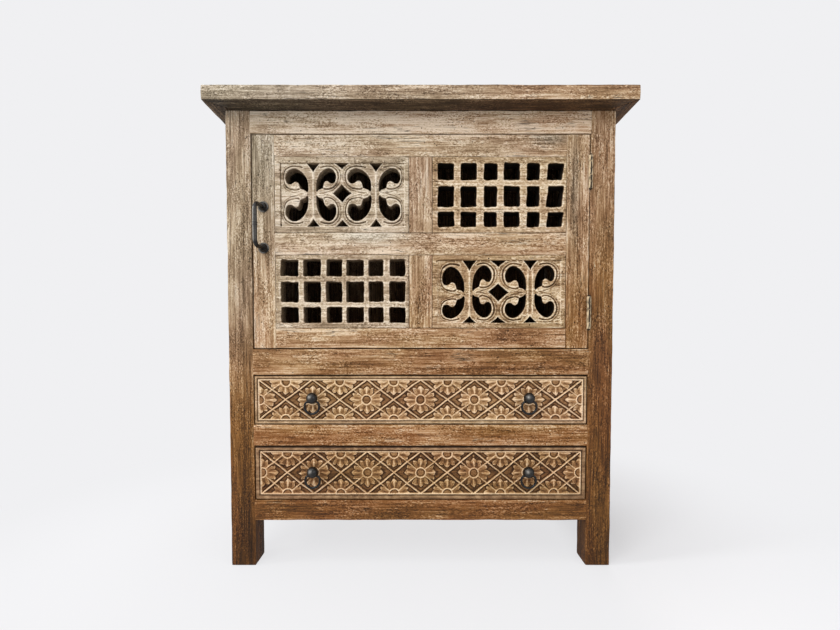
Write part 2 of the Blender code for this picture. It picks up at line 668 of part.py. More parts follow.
def build_drawer(row, z0, opening, materials, case, drawer):
    """A drawer box behind a carved front, its runners in the case and its two ring pulls."""
    wood = materials["drawer_box"]
    low, high = z0 + DRAWER_GAP, z0 + opening - DRAWER_GAP
    front_x = OPEN_X - DRAWER_GAP
    front_back = FRONT_Y + DRAWER_FRONT_THICK
    front_name = f"{row}_drawer_front"
    add_box(front_name, (-front_x, FRONT_Y, low), (front_x, front_back, high), materials["carved"], drawer)
    side_out = OPEN_X - JOINT_GAP - RUNNER_GUIDE - RUNNER_SIDE_PLAY
    side_in = side_out - DRAWER_SIDE_THICK
    side_top = z0 + opening - DRAWER_HEADROOM
    back = BACK_PANEL_Y - DRAWER_BACK_CLEAR
    for side, sign in SIDES:
        x = sorted((sign * side_in, sign * side_out))
        side_low, side_high = (x[0], front_back + JOINT_GAP, low), (x[1], back, side_top)
        add_box(f"{row}_drawer_{side}_side", side_low, side_high, wood, drawer)
    reach = side_in - JOINT_GAP
    back_low = (-reach, back - DRAWER_BACK_THICK, low)
    add_box(f"{row}_drawer_back", back_low, (reach, back, side_top), wood, drawer)
    bottom = low + DRAWER_BOTTOM_RISE
    bottom_low = (-reach, front_back + JOINT_GAP, bottom)
    bottom_high = (reach, back - DRAWER_BACK_THICK - JOINT_GAP, bottom + DRAWER_BOTTOM_THICK)
    add_box(f"{row}_drawer_bottom", bottom_low, bottom_high, wood, drawer)
    build_runners(row, low - JOINT_GAP, materials["case"], case)
    half_width = front_x - CARVE_BORDER
    half_height = (high - low) / 2 - CARVE_BORDER
    middle = (low + high) / 2
    grounds = []
    for pocket in carving_pockets(half_width, half_height):
        loops = [[(u, v + middle) for u, v in loop] for loop in pocket]
        grounds.append(prism(loops, on_front, FRONT_Y - CUT_OVER, FRONT_Y + CARVE_DEPTH))
    cut(front_name, add_mesh(f"{row}_ground", *joined(grounds), None, drawer))
    pull_x = PULL_PITCHES * 2 * half_width / LATTICE_PITCHES
    for side, sign in SIDES:
        place = (sign * pull_x, middle + PULL_RISE)
        build_pull(f"{row}_{side}", place, front_name, materials["iron"], drawer)


def build_runners(row, top, material, case):
    """L-shaped runners on the posts: a ledge under the drawer's side and a guide beside it."""
    outer = OPEN_X - JOINT_GAP
    y0, y1 = FRONT_Y + RAIL_THICK + JOINT_GAP, BACK_PANEL_Y - JOINT_GAP
    for side, sign in SIDES:
        outline = [
            (outer, top - RUNNER_THICK),
            (outer, top + RUNNER_GUIDE_HEIGHT),
            (outer - RUNNER_GUIDE, top + RUNNER_GUIDE_HEIGHT),
            (outer - RUNNER_GUIDE, top),
            (outer - RUNNER_LEDGE, top),
            (outer - RUNNER_LEDGE, top - RUNNER_THICK),
        ]
        mirrored = [(sign * u, v) for u, v in outline]
        add_prism(f"{row}_runner_{side}", [mirrored], on_front, y0, y1, material, case)


def build_pull(name, place, front_name, material, drawer):
    """A ball on a stem, screwed into the drawer's front, and the ring that hangs through it."""
    x, z = place
    centre = Vector((x, FRONT_Y - PULL_STANDOFF, z))
    face = PULL_STANDOFF - JOINT_GAP
    neck = math.degrees(math.acos(COLLAR_RADIUS / BALL_RADIUS))
    profile = arc((0, 0), (BALL_RADIUS, BALL_RADIUS), 90, -neck, 9)
    profile[0] = (0, BALL_RADIUS)
    profile += [(COLLAR_RADIUS, -face), (STEM_RADIUS, -face), (STEM_RADIUS, -face - STEM_LENGTH)]
    profile.append((0, -face - STEM_LENGTH))
    ball = turned(profile, 16, Matrix.Rotation(math.pi / 2, 4, "X"))
    add_object(f"{name}_pull_ball", ball, centre, material, drawer)
    bore_radius = RING_WIRE + RING_BORE_CLEARANCE
    bore_half = BALL_RADIUS + CUT_OVER
    bore_profile = [(0, bore_half), (bore_radius, bore_half), (bore_radius, -bore_half), (0, -bore_half)]
    bore = turned(bore_profile, 12, Matrix.Rotation(math.pi / 2, 4, "Y"))
    pivot = centre - Vector((0, 0, RING_DROP))
    cut(f"{name}_pull_ball", add_object(f"{name}_bore", bore, pivot, None, drawer))
    hole_radius = STEM_RADIUS + JOINT_GAP
    hole_end = STEM_LENGTH / 2 + JOINT_GAP
    hole_profile = [(0, hole_end), (hole_radius, hole_end), (hole_radius, -hole_end), (0, -hole_end)]
    hole = turned(hole_profile, 16, Matrix.Rotation(math.pi / 2, 4, "X"))
    hole_place = (x, FRONT_Y - JOINT_GAP + STEM_LENGTH / 2, z)
    cut(front_name, add_object(f"{name}_stem_hole", hole, hole_place, None, drawer))
    hang = make_empty(f"{name}_ring_pivot", pivot, drawer)
    drop = math.sqrt(RING_RADIUS**2 - RING_HALF_CHORD**2)
    shoulder = math.degrees(math.asin(drop / RING_RADIUS))
    route = arc((0, -drop), (RING_RADIUS, RING_RADIUS), shoulder, -180 - shoulder, 19)
    chord = RING_HALF_CHORD - RING_WIRE
    route = [(chord, 0)] + route[1:-1] + [(-chord, 0)]
    places = [(x + u, pivot.y, pivot.z + v) for u, v in route]
    add_tube(f"{name}_pull_ring", places, RING_WIRE, True, pivot, material, hang)


def main():
    for obj in list(bpy.data.objects):
        bpy.data.objects.remove(obj)
    materials = {
        "case": make_material("weathered_teak", "8F7657", 0.82),
        "door": make_material("limed_teak", "9C8363", 0.82),
        "carved": make_material("carved_teak", "AD8F68", 0.80),
        "drawer_box": make_material("plain_drawer_wood", "9A7C56", 0.75),
        "iron": make_material("black_iron", "1D1B1A", 0.48, 0.9),
        "hinge": make_material("tarnished_steel", "7D705D", 0.60, 0.7),
    }
    case = make_empty("cabinet", (0, 0, 0))
    door = make_empty("door_pivot", (HINGE_X, HINGE_Y, DOOR_Z), case)
    build_posts(materials["case"], case)
    build_rails(materials["case"], case)
    build_panels(materials["case"], case)
    build_top(materials["case"], case)
    build_door(materials, door)
    build_handle(materials["iron"], door)
    for which, z0 in hinge_heights().items():
        build_hinge(which, z0, materials, case, door)
    for row, z0, opening in (("lower", LOWER_Z, LOWER_OPENING), ("upper", UPPER_Z, UPPER_OPENING)):
        drawer = make_empty(f"{row}_drawer_slide", (0, FRONT_Y, z0), case)
        build_drawer(row, z0, opening, materials, case, drawer)
    cut_mortises()


main()
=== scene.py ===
import math
from functools import partial

import bmesh
import bpy
import numpy as np
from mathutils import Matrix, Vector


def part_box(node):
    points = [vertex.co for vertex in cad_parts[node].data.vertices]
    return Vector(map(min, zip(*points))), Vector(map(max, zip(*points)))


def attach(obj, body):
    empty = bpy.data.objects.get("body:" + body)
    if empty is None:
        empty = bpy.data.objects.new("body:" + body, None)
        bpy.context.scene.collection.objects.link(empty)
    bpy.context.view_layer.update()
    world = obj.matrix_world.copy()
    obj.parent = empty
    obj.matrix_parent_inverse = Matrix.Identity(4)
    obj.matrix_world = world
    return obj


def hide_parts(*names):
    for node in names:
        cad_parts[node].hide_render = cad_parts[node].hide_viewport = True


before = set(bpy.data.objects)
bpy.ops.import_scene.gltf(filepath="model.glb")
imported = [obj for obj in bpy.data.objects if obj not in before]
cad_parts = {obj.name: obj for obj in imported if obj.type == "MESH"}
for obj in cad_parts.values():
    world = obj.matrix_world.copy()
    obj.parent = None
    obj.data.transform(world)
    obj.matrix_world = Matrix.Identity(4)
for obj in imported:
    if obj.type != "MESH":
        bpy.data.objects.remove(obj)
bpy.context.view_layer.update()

scene = bpy.context.scene
mm = 0.001


def linearColour(hexText):
    # each sRGB channel goes through the standard curve to linear light
    channels = [int(hexText[k:k + 2], 16) / 255 for k in (1, 3, 5)]
    return [c / 12.92 if c <= 0.04045 else ((c + 0.055) / 1.055) ** 2.4 for c in channels] + [1.0]


def addNode(tree, kind, settings=None, feeds=None, out=0):
    # settings are the node's own properties, a ramp's stops or a map's span; feeds are sockets to link, or
    # values; one output comes back, to feed the next node
    node = tree.nodes.new("ShaderNode" + kind)
    for name, value in (settings or {}).items():
        if name == "stops":
            ramp = node.color_ramp.elements
            while len(ramp) < len(value):
                ramp.new(0.5)
            for element, (place, colour) in zip(ramp, value):
                element.position = place
                element.color = linearColour(colour)
        elif name == "span":
            for limit, number in zip(("From Min", "From Max", "To Min", "To Max"), value):
                node.inputs[limit].default_value = number
        else:
            setattr(node, name, value)
    for name, value in (feeds or {}).items():
        if isinstance(value, bpy.types.NodeSocket):
            tree.links.new(value, node.inputs[name])
        else:
            node.inputs[name].default_value = value
    return node.outputs[out] if len(node.outputs) else None


def smooth(value, low, high):
    # an S curve from 0 at low to 1 at high
    t = np.clip((value - low) / (high - low), 0, 1)
    return t * t * (3 - 2 * t)


waveCount, waveGain = 8, 1.6


def waves(points, length, seed):
    # smooth noise: the mean of eight sine waves of about one length, in seeded random directions
    draw = np.random.default_rng(seed)
    directions = draw.normal(size=(waveCount, 3))
    directions /= np.linalg.norm(directions, axis=1)[:, None]
    pace = 2 * math.pi / length * draw.uniform(0.6, 1.5, waveCount)
    phase = draw.uniform(0, 2 * math.pi, waveCount)
    return np.sin(points @ (directions * pace[:, None]).T + phase).mean(-1) * waveGain


def flatWaves(u, v, length, seed):
    # the same noise over a flat sheet
    return waves(np.stack([u, v, 0 * u], -1), length, seed)


def joinShapes(shapes):
    # several shapes as one: the points follow each other and the faces' numbers move up
    start, faces = 0, []
    for shape in shapes:
        faces += [ring + start for ring in shape["faces"]]
        start += len(shape["points"])
    marks = {name: np.concatenate([shape["marks"][name] for shape in shapes]) for name in shapes[0]["marks"]}
    return dict(points=np.concatenate([shape["points"] for shape in shapes]), faces=faces, marks=marks)


def tube(count, size, closed=False):
    # rings of points in a row: their numbers, and the four-sided faces from each ring to the next
    index = np.arange(count * size).reshape(count, size)
    here = index if closed else index[:-1]
    there = np.roll(index, -1, axis=0) if closed else index[1:]
    quads = np.stack([here, np.roll(here, -1, axis=1), np.roll(there, -1, axis=1), there], -1)
    return index, quads.reshape(-1, 4)


def addObject(name, data):
    # a new object at the scene's origin
    added = bpy.data.objects.new(name, data)
    scene.collection.objects.link(added)
    return added


sharpAngle = math.radians(42)


def putPiece(node, shape, body, slot, material, ending="teak"):
    # arrays go into a mesh at the origin, faces are turned outwards, and the piece takes its node's place
    name = f"{node}_{ending}"
    mesh = bpy.data.meshes.new(name)
    points = shape["points"].astype(np.float32)
    corners = np.concatenate([ring.ravel() for ring in shape["faces"]]).astype(np.int32)
    counts = np.concatenate([np.full(len(ring), ring.shape[1]) for ring in shape["faces"]])
    starts = np.concatenate([[0], np.cumsum(counts)[:-1]]).astype(np.int32)
    mesh.vertices.add(len(points))
    mesh.vertices.foreach_set("co", points.ravel())
    mesh.loops.add(len(corners))
    mesh.loops.foreach_set("vertex_index", corners)
    mesh.polygons.add(len(counts))
    mesh.polygons.foreach_set("loop_start", starts)
    mesh.update(calc_edges=True)
    mesh.validate()
    for mark, values in shape["marks"].items():
        kind, field = ("FLOAT_VECTOR", "vector") if values.ndim == 2 else ("FLOAT", "value")
        attribute = mesh.attributes.new(mark, kind, "POINT")
        attribute.data.foreach_set(field, values.astype(np.float32).ravel())
    shell = bmesh.new()
    shell.from_mesh(mesh)
    bmesh.ops.recalc_face_normals(shell, faces=shell.faces)
    shell.to_mesh(mesh)
    shell.free()
    mesh.polygons.foreach_set("use_smooth", np.ones(len(mesh.polygons), bool))
    mesh.set_sharp_from_angle(angle=sharpAngle)
    mesh.materials.append(material)
    piece = addObject(name, mesh)
    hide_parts(node)
    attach(piece, body)


# weathered boards

limeTone = dict(
    climb=0.74, footHeight=0.085, lean=0.075, leanLow=0.12, leanHigh=0.5, halfWidth=0.373,
    grey=0.52, greyLean=0.22, greyLow=0.25, greyHigh=0.75)


def limed(points, lift, climb, lean):
    # tone climbs from brown at the feet to beige at the top, partly lime worn off low down and partly
    # painted light from above, and leans paler to the left; grey follows it
    look = limeTone
    side = points[:, 0] / look["halfWidth"]
    height = points[:, 2]
    tone = climb * (look["climb"] * (height - look["footHeight"]))
    tone = tone + lift - lean * look["lean"] * side * smooth(height, look["leanLow"], look["leanHigh"])
    grey = smooth(height, look["greyLow"], look["greyHigh"]) * (look["grey"] - look["greyLean"] * side)
    return tone, grey


boardForm = dict(
    turns=5, bends=4, bendStart=20, cornerReach=2.5 * mm, endReach=3 * mm, wearLength=0.05, waveLength=0.12,
    facingDown=-0.6, grainShift=4, toneSpread=0.03)


def board(low, high, along, seed, look):
    # a rounded rectangle carried along the board: each ring is a core rectangle pushed out by the radius,
    # and the end rings draw in on a quarter circle; noise wears the corners and waves the faces
    form = boardForm
    low, high = np.array(low), np.array(high)
    across, up = (along + 1) % 3, (along + 2) % 3
    middle, half = (low + high) / 2, (high - low) / 2
    radius, step = look["radius"], look["step"]
    coreA, coreB = half[across] - radius, half[up] - radius
    turn = np.radians(np.linspace(0, 90, form["turns"]))
    sideA = np.linspace(-coreA, coreA, max(3, int(2 * coreA / step) + 1))[1:-1]
    sideB = np.linspace(-coreB, coreB, max(3, int(2 * coreB / step) + 1))[1:-1]
    core, normal, corner = [], [], []
    for k, (signA, signB) in enumerate(((1, 1), (-1, 1), (-1, -1), (1, -1))):
        angle = turn + k * math.pi / 2
        core.append(np.tile([signA * coreA, signB * coreB], (len(turn), 1)))
        normal.append(np.stack([np.cos(angle), np.sin(angle)], 1))
        corner.append(np.ones(len(turn)))
        run = (-sideA, -sideB, sideA, sideB)[k]
        level = np.full(len(run), (coreB, -coreA, -coreB, coreA)[k])
        core.append(np.stack([run, level] if k % 2 == 0 else [level, run], 1))
        normal.append(np.tile([math.cos(angle[-1]), math.sin(angle[-1])], (len(run), 1)))
        gap = (coreA, coreB)[k % 2] - np.abs(run)
        corner.append(np.exp(-gap / form["cornerReach"]))
    core, normal, corner = np.concatenate(core), np.concatenate(normal), np.concatenate(corner)
    length = high[along] - low[along]
    bend = np.radians(np.linspace(form["bendStart"], 90, form["bends"]))
    inset = radius * (1 - np.sin(bend))
    draw = radius * (1 - np.cos(bend))
    straight = np.linspace(radius, length - radius, max(3, int(length / look["pace"])))[1:-1]
    place = np.concatenate([draw, straight, length - draw[::-1]])
    pull = np.concatenate([inset, np.zeros(len(straight)), inset[::-1]])
    ring = core[None] + (radius - pull)[:, None, None] * normal[None]
    count, size = len(place), len(core)
    points = np.zeros((count, size, 3))
    points[..., along] = (low[along] + place)[:, None]
    points[..., across] = middle[across] + ring[..., 0]
    points[..., up] = middle[up] + ring[..., 1]
    flat = points.reshape(-1, 3)
    wearAndHighlight = np.tile(corner, count)
    hollow = look["wear"] * wearAndHighlight * (0.5 + 0.5 * waves(flat, form["wearLength"], seed))
    hollow = hollow + look["wave"] * (1 + waves(flat, form["waveLength"], seed + 1))
    push = np.zeros_like(flat)
    push[:, across], push[:, up] = np.tile(normal[:, 0], count), np.tile(normal[:, 1], count)
    flat = flat - push * hollow[:, None]
    if "mitre" in look:
        # the ends are sheared: each end's place along moves with the place across
        side, pivot, startSlope, endSlope = look["mitre"]
        share = (flat[:, along] - low[along]) / length
        offset = flat[:, side] - pivot
        flat[:, along] += offset * (startSlope * (1 - share) + endSlope * share)
    index, quads = tube(count, size)
    ends = np.minimum(flat[:, along] - low[along], high[along] - flat[:, along])
    random = np.random.default_rng(seed)
    shift = random.uniform(-form["grainShift"], form["grainShift"], 3)
    lift = look.get("lift", 0) + random.uniform(-form["toneSpread"], form["toneSpread"])
    tone, grey = limed(flat, lift, look.get("climb", 1), look.get("lean", 1))
    # faces turned down are darkened: painted shade on the slab's underside
    tone = tone - look.get("under", 0) * (push[:, 2] < form["facingDown"])
    for x, z, reachX, reachZ, change, film in look.get("patches", ()):
        # a soft oval on the board that is paler or darker, and greyer
        spot = np.exp(-((flat[:, 0] - x) / reachX) ** 2 - ((flat[:, 2] - z) / reachZ) ** 2)
        tone, grey = tone + change * spot, grey + film * spot
    marks = dict(
        grain=flat[:, [along, across, up]] + shift, tone=tone, grey=grey,
        edge=np.maximum(wearAndHighlight, np.exp(-np.clip(ends, 0, 1) / form["endReach"])),
    )
    return dict(points=flat, faces=[quads, index[:1, ::-1], index[-1:]], marks=marks)


plankJoint = dict(overlap=0.4 * mm, vary=0.09, varyPace=2.4, seedStep=7, seamShade=0.30, reach=2.0 * mm)


def planks(node, along, beside, number, seed, look):
    # boards edge to edge in a node's box, their sides let into each other so that no light comes through;
    # they differ a little in tone, and painted shade darkens them towards their sides, along the joints
    joint = plankJoint
    low, high = np.array(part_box(node))
    width = (high[beside] - low[beside]) / number
    shapes = []
    for k in range(number):
        start, end = low.copy(), high.copy()
        start[beside] = low[beside] + k * width - (joint["overlap"] if k else 0)
        end[beside] = low[beside] + (k + 1) * width + (joint["overlap"] if k < number - 1 else 0)
        lift = look.get("lift", 0) + joint["vary"] * math.sin(joint["varyPace"] * k + seed)
        plank = board(start, end, along, seed + joint["seedStep"] * k, {**look, "lift": lift})
        side = plank["points"][:, beside]
        away = np.minimum(side - start[beside], end[beside] - side)
        plank["marks"]["tone"] -= joint["seamShade"] * np.exp(-away / joint["reach"])
        shapes.append(plank)
    return joinShapes(shapes)


# carved plates

# rounding in mm; the walls' painted light and shade starts at edge below the face and ends at lip above the
# back
plateForm = dict(rounding=1.4, edge=2.5 * mm, lip=0.7 * mm, backTone=0.44, backGrey=0.3)


def carvedPlate(node, step, carve, seed, pierced, wall=0.1, grey=0.0):
    # marching squares over the solid's signed depth: whole and clipped cells make the face, at the carving's
    # depth below the front, and pieces of the outline make the walls
    form = plateForm
    low, high = np.array(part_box(node))
    size = high - low
    stepX = size[0] / round(size[0] / step)
    stepZ = size[2] / round(size[2] / step)
    xs = low[0] + stepX * (np.arange(round(size[0] / stepX) + 2) - 0.5)
    zs = low[2] + stepZ * (np.arange(round(size[2] / stepZ) + 2) - 0.5)
    x, z = np.meshgrid(xs, zs)
    u, v = (x - (low[0] + high[0]) / 2) / mm, (z - (low[2] + high[2]) / 2) / mm
    rim = np.minimum(size[0] / mm / 2 - np.abs(u), size[2] / mm / 2 - np.abs(v))
    solid, depth, tone, film = carve(u, v)
    solid = np.minimum(solid, rim)
    depth = depth + roundedOver(rim, form["rounding"])
    inside = solid > 0
    rows, columns = solid.shape
    corner = np.arange(rows * columns).reshape(rows, columns)
    level = corner.size + np.arange(rows * (columns - 1)).reshape(rows, columns - 1)
    upright = corner.size + level.size + np.arange((rows - 1) * columns).reshape(rows - 1, columns)
    sheet = np.stack([x, z, depth, tone, grey + film], -1)

    def crossing(first, second, a, b):
        span = np.where(np.abs(a - b) < 1e-9, 1, a - b)
        share = np.clip(a / span, 0.02, 0.98)[..., None]
        return (first + share * (second - first)).reshape(-1, sheet.shape[-1])

    table = np.concatenate([
        sheet.reshape(-1, sheet.shape[-1]),
        crossing(sheet[:, :-1], sheet[:, 1:], solid[:, :-1], solid[:, 1:]),
        crossing(sheet[:-1], sheet[1:], solid[:-1], solid[1:]),
    ])
    corners = (corner[:-1, :-1], corner[:-1, 1:], corner[1:, 1:], corner[1:, :-1])
    edges = (level[:-1], upright[:, 1:], level[1:], upright[:, :-1])
    code = sum(inside.ravel()[ring].astype(int) << k for k, ring in enumerate(corners))
    faces, outline = [], []
    for case in range(1, 16):
        pick = code == case
        if not pick.any():
            continue
        ring, kinds = [], []
        for k in range(4):
            here, following = case >> k & 1, case >> (k + 1) % 4 & 1
            if here:
                ring.append(corners[k][pick])
                kinds.append("corner")
            if here != following:
                ring.append(edges[k][pick])
                kinds.append("leave" if here else "enter")
        faces.append(np.stack(ring, 1))
        for k, kind in enumerate(kinds):
            if kind == "leave":
                outline.append(np.stack([ring[k], ring[(k + 1) % len(ring)]], 1))
    outline = np.concatenate(outline)
    total = len(table)
    # two more rows of points, just under the face and just over the back, hold the walls' painted light and
    # shade
    levels = [outline + place * total for place in (0, 2, 3, 1)]
    walls = [np.stack([a[:, 1], a[:, 0], b[:, 0], b[:, 1]], 1) for a, b in zip(levels, levels[1:])]
    if pierced:
        faces += [ring[:, ::-1] + total for ring in faces]
    else:
        around = np.unique(outline)
        turn = np.arctan2(table[around, 1] - zs.mean(), table[around, 0] - xs.mean())
        faces.append((around[np.argsort(-turn)] + total)[None])
    faces += walls
    front = np.stack([table[:, 0], low[1] + table[:, 2] * mm, table[:, 1]], 1)
    back = np.stack([table[:, 0], np.full(total, high[1]), table[:, 1]], 1)
    points = np.concatenate([front, back, front + [0, form["edge"], 0], back - [0, form["lip"], 0]])
    # a pale wall tone is painted light on walls that face the lamps at the left, a dark one painted shade on
    # walls turned away
    tones = np.concatenate([table[:, 3], np.full(total, form["backTone"]), np.full(2 * total, wall)])
    greys = np.concatenate([table[:, 4], np.full(total, form["backGrey"]), table[:, 4], table[:, 4]])
    used = np.zeros(len(points), bool)
    for ring in faces:
        used[ring] = True
    renumber = np.cumsum(used) - 1
    points = points[used]
    shift = np.random.default_rng(seed).uniform(-boardForm["grainShift"], boardForm["grainShift"], 3)
    marks = dict(grain=points[:, [0, 2, 1]] + shift, tone=tones[used], grey=greys[used])
    return dict(points=points, faces=[renumber[ring] for ring in faces], marks=marks)


def ridge(distance, half):
    # a half-round section: the height of a circle over its own half width
    return np.sqrt(np.clip(1 - (distance / half) ** 2, 0, 1))


def roundedOver(distance, radius):
    # how far a rounded edge drops: a quarter circle within one radius of the edge
    return radius * (1 - ridge(np.clip(1 - distance / radius, 0, 1), 1))


def lineDistance(u, v, places, closed=False):
    # distance to a chain of straight pieces: the least over the pieces
    places = np.array(places, float)
    ends = np.roll(places, -1, axis=0) if closed else places[1:]
    best = np.full(u.shape, 1e9)
    for (u0, v0), (u1, v1) in zip(places, ends):
        du, dv = u1 - u0, v1 - v0
        share = np.clip(((u - u0) * du + (v - v0) * dv) / max(du * du + dv * dv, 1e-9), 0, 1)
        best = np.minimum(best, np.hypot(u - u0 - share * du, v - v0 - share * dv))
    return best


def outlineDistance(u, v, places):
    # signed distance to a closed outline, positive outside: the crossing count gives the sign
    places = np.array(places, float)
    inside = np.zeros(u.shape, bool)
    for (u0, v0), (u1, v1) in zip(places, np.roll(places, -1, axis=0)):
        spans = (v0 > v) != (v1 > v)
        inside ^= spans & (u < u0 + (v - v0) / (v1 - v0 if v1 != v0 else 1e-9) * (u1 - u0))
    return np.where(inside, -1, 1) * lineDistance(u, v, places, True)


def rounded(places, count, closed=True):
    # a smooth curve through the places: Catmull-Rom pieces with even steps, and an open one repeats its ends
    places = np.array(places, float)
    if not closed:
        places = np.concatenate([places[:1], places, places[-1:]])
    before, after, beyond = np.roll(places, 1, 0), np.roll(places, -1, 0), np.roll(places, -2, 0)
    t = (np.arange(count) / count)[None, :, None]
    a, b, c, d = before[:, None], places[:, None], after[:, None], beyond[:, None]
    curve = 0.5 * (
        2 * b + (c - a) * t + (2 * a - 5 * b + 4 * c - d) * t ** 2 + (3 * b - a - 3 * c + d) * t ** 3)
    return (curve if closed else curve[1:-2]).reshape(-1, 2)


def groove(distance, width):
    # a soft-sided cut: a bell curve over the distance
    return np.exp(-(distance / width) ** 2)


def wobble(u, v, length, reach, seed):
    # the carver's hand: both directions drift by smooth noise
    return u + reach * flatWaves(u, v, length, seed), v + reach * flatWaves(u, v, length, seed + 50)


farAway = 1e3


def weighed(base, weights, marks):
    # the base, and then each mark added by its own weight
    for name, weight in weights.items():
        base = base + weight * marks[name]
    return base


scrollPanel = dict(
    cell=59.0, fieldHigh=60.0, fieldWide=119.0, diamond=17.5, diamondBow=0.9, topNotch=18.0,
    bottomNotch=14.0, middleNotch=12.0, middleHalf=12.5, notchBow=1.25, notchLean=0.85, nearEdge=10.0,
    farEdge=48.4, rope=2.5, ropeEnd=42, stemHalf=9.5, stemEnd=17, slopeEnd=14, twinHalf=4.8, edge=1.5,
    bulb=(29.8, 15.4), bulbRadius=8.4, bud=(17.0, 9.0, 9.2), nail=(1.8, 0.9), hand=(38, 0.5),
    # depths in mm, and tones
    relief=dict(lines=1.3, corners=0.8, ropes=-1.4, dome=-1.9, crest=-1.3, slope=1.0),
    lowered=2.2, toolMarks=0.12, rimDeep=0.8, nailDeep=1.2,
    marginTones=dict(rim=-0.4, nails=-0.6), marginRough=0.06,
    # crest and lip are painted highlight on the stem's crest and along the holes' edges, and slope is
    # painted shade on the stem's sides
    tones=dict(
        ropes=0.34, lip=0.2, bulb=0.14, bud=1, crest=0.36, slope=-0.12, lines=-0.58, stain=1, rough=0.09,
        blotch=0.08, inside=-0.6),
    # cut lines on one quarter of a scroll: sideways from the stem and up from the middle
    valley=((19, 52), (26, 54), (35, 54.6), (44, 51.2), (50.6, 44), (52.6, 34), (51.4, 24.5), (47.4, 15.6),
            (41, 10.4), (33, 8.2), (26.5, 8.4), (23, 10.8)),
    border=((17, 0.3), (25, 1.4), (32, 3.0), (40, 5.8), (49, 12), (55, 23), (56.8, 35), (54, 46.5), (46, 55),
            (35, 58.8), (25, 58.4)),
    # the hole as far as its curl, then the curl's bulb and the bud beside the stem
    hole=((8.9, 7.0), (8.9, 14), (10, 24), (13.2, 33.5), (19, 42.4), (27, 48.6), (35, 50.2), (42.5, 46.4),
          (47.5, 38.2), (48.4, 31), (47.2, 24.4), (44.4, 20.4), (40.4, 19.2), (36.4, 20.6), (33, 23.4),
          (29.6, 24.2), (26.2, 21.8), (24.2, 17.2), (23.4, 12.4), (22.2, 9.8), (18.4, 8.8), (14.2, 6.8),
          (11.0, 3.6)),
)


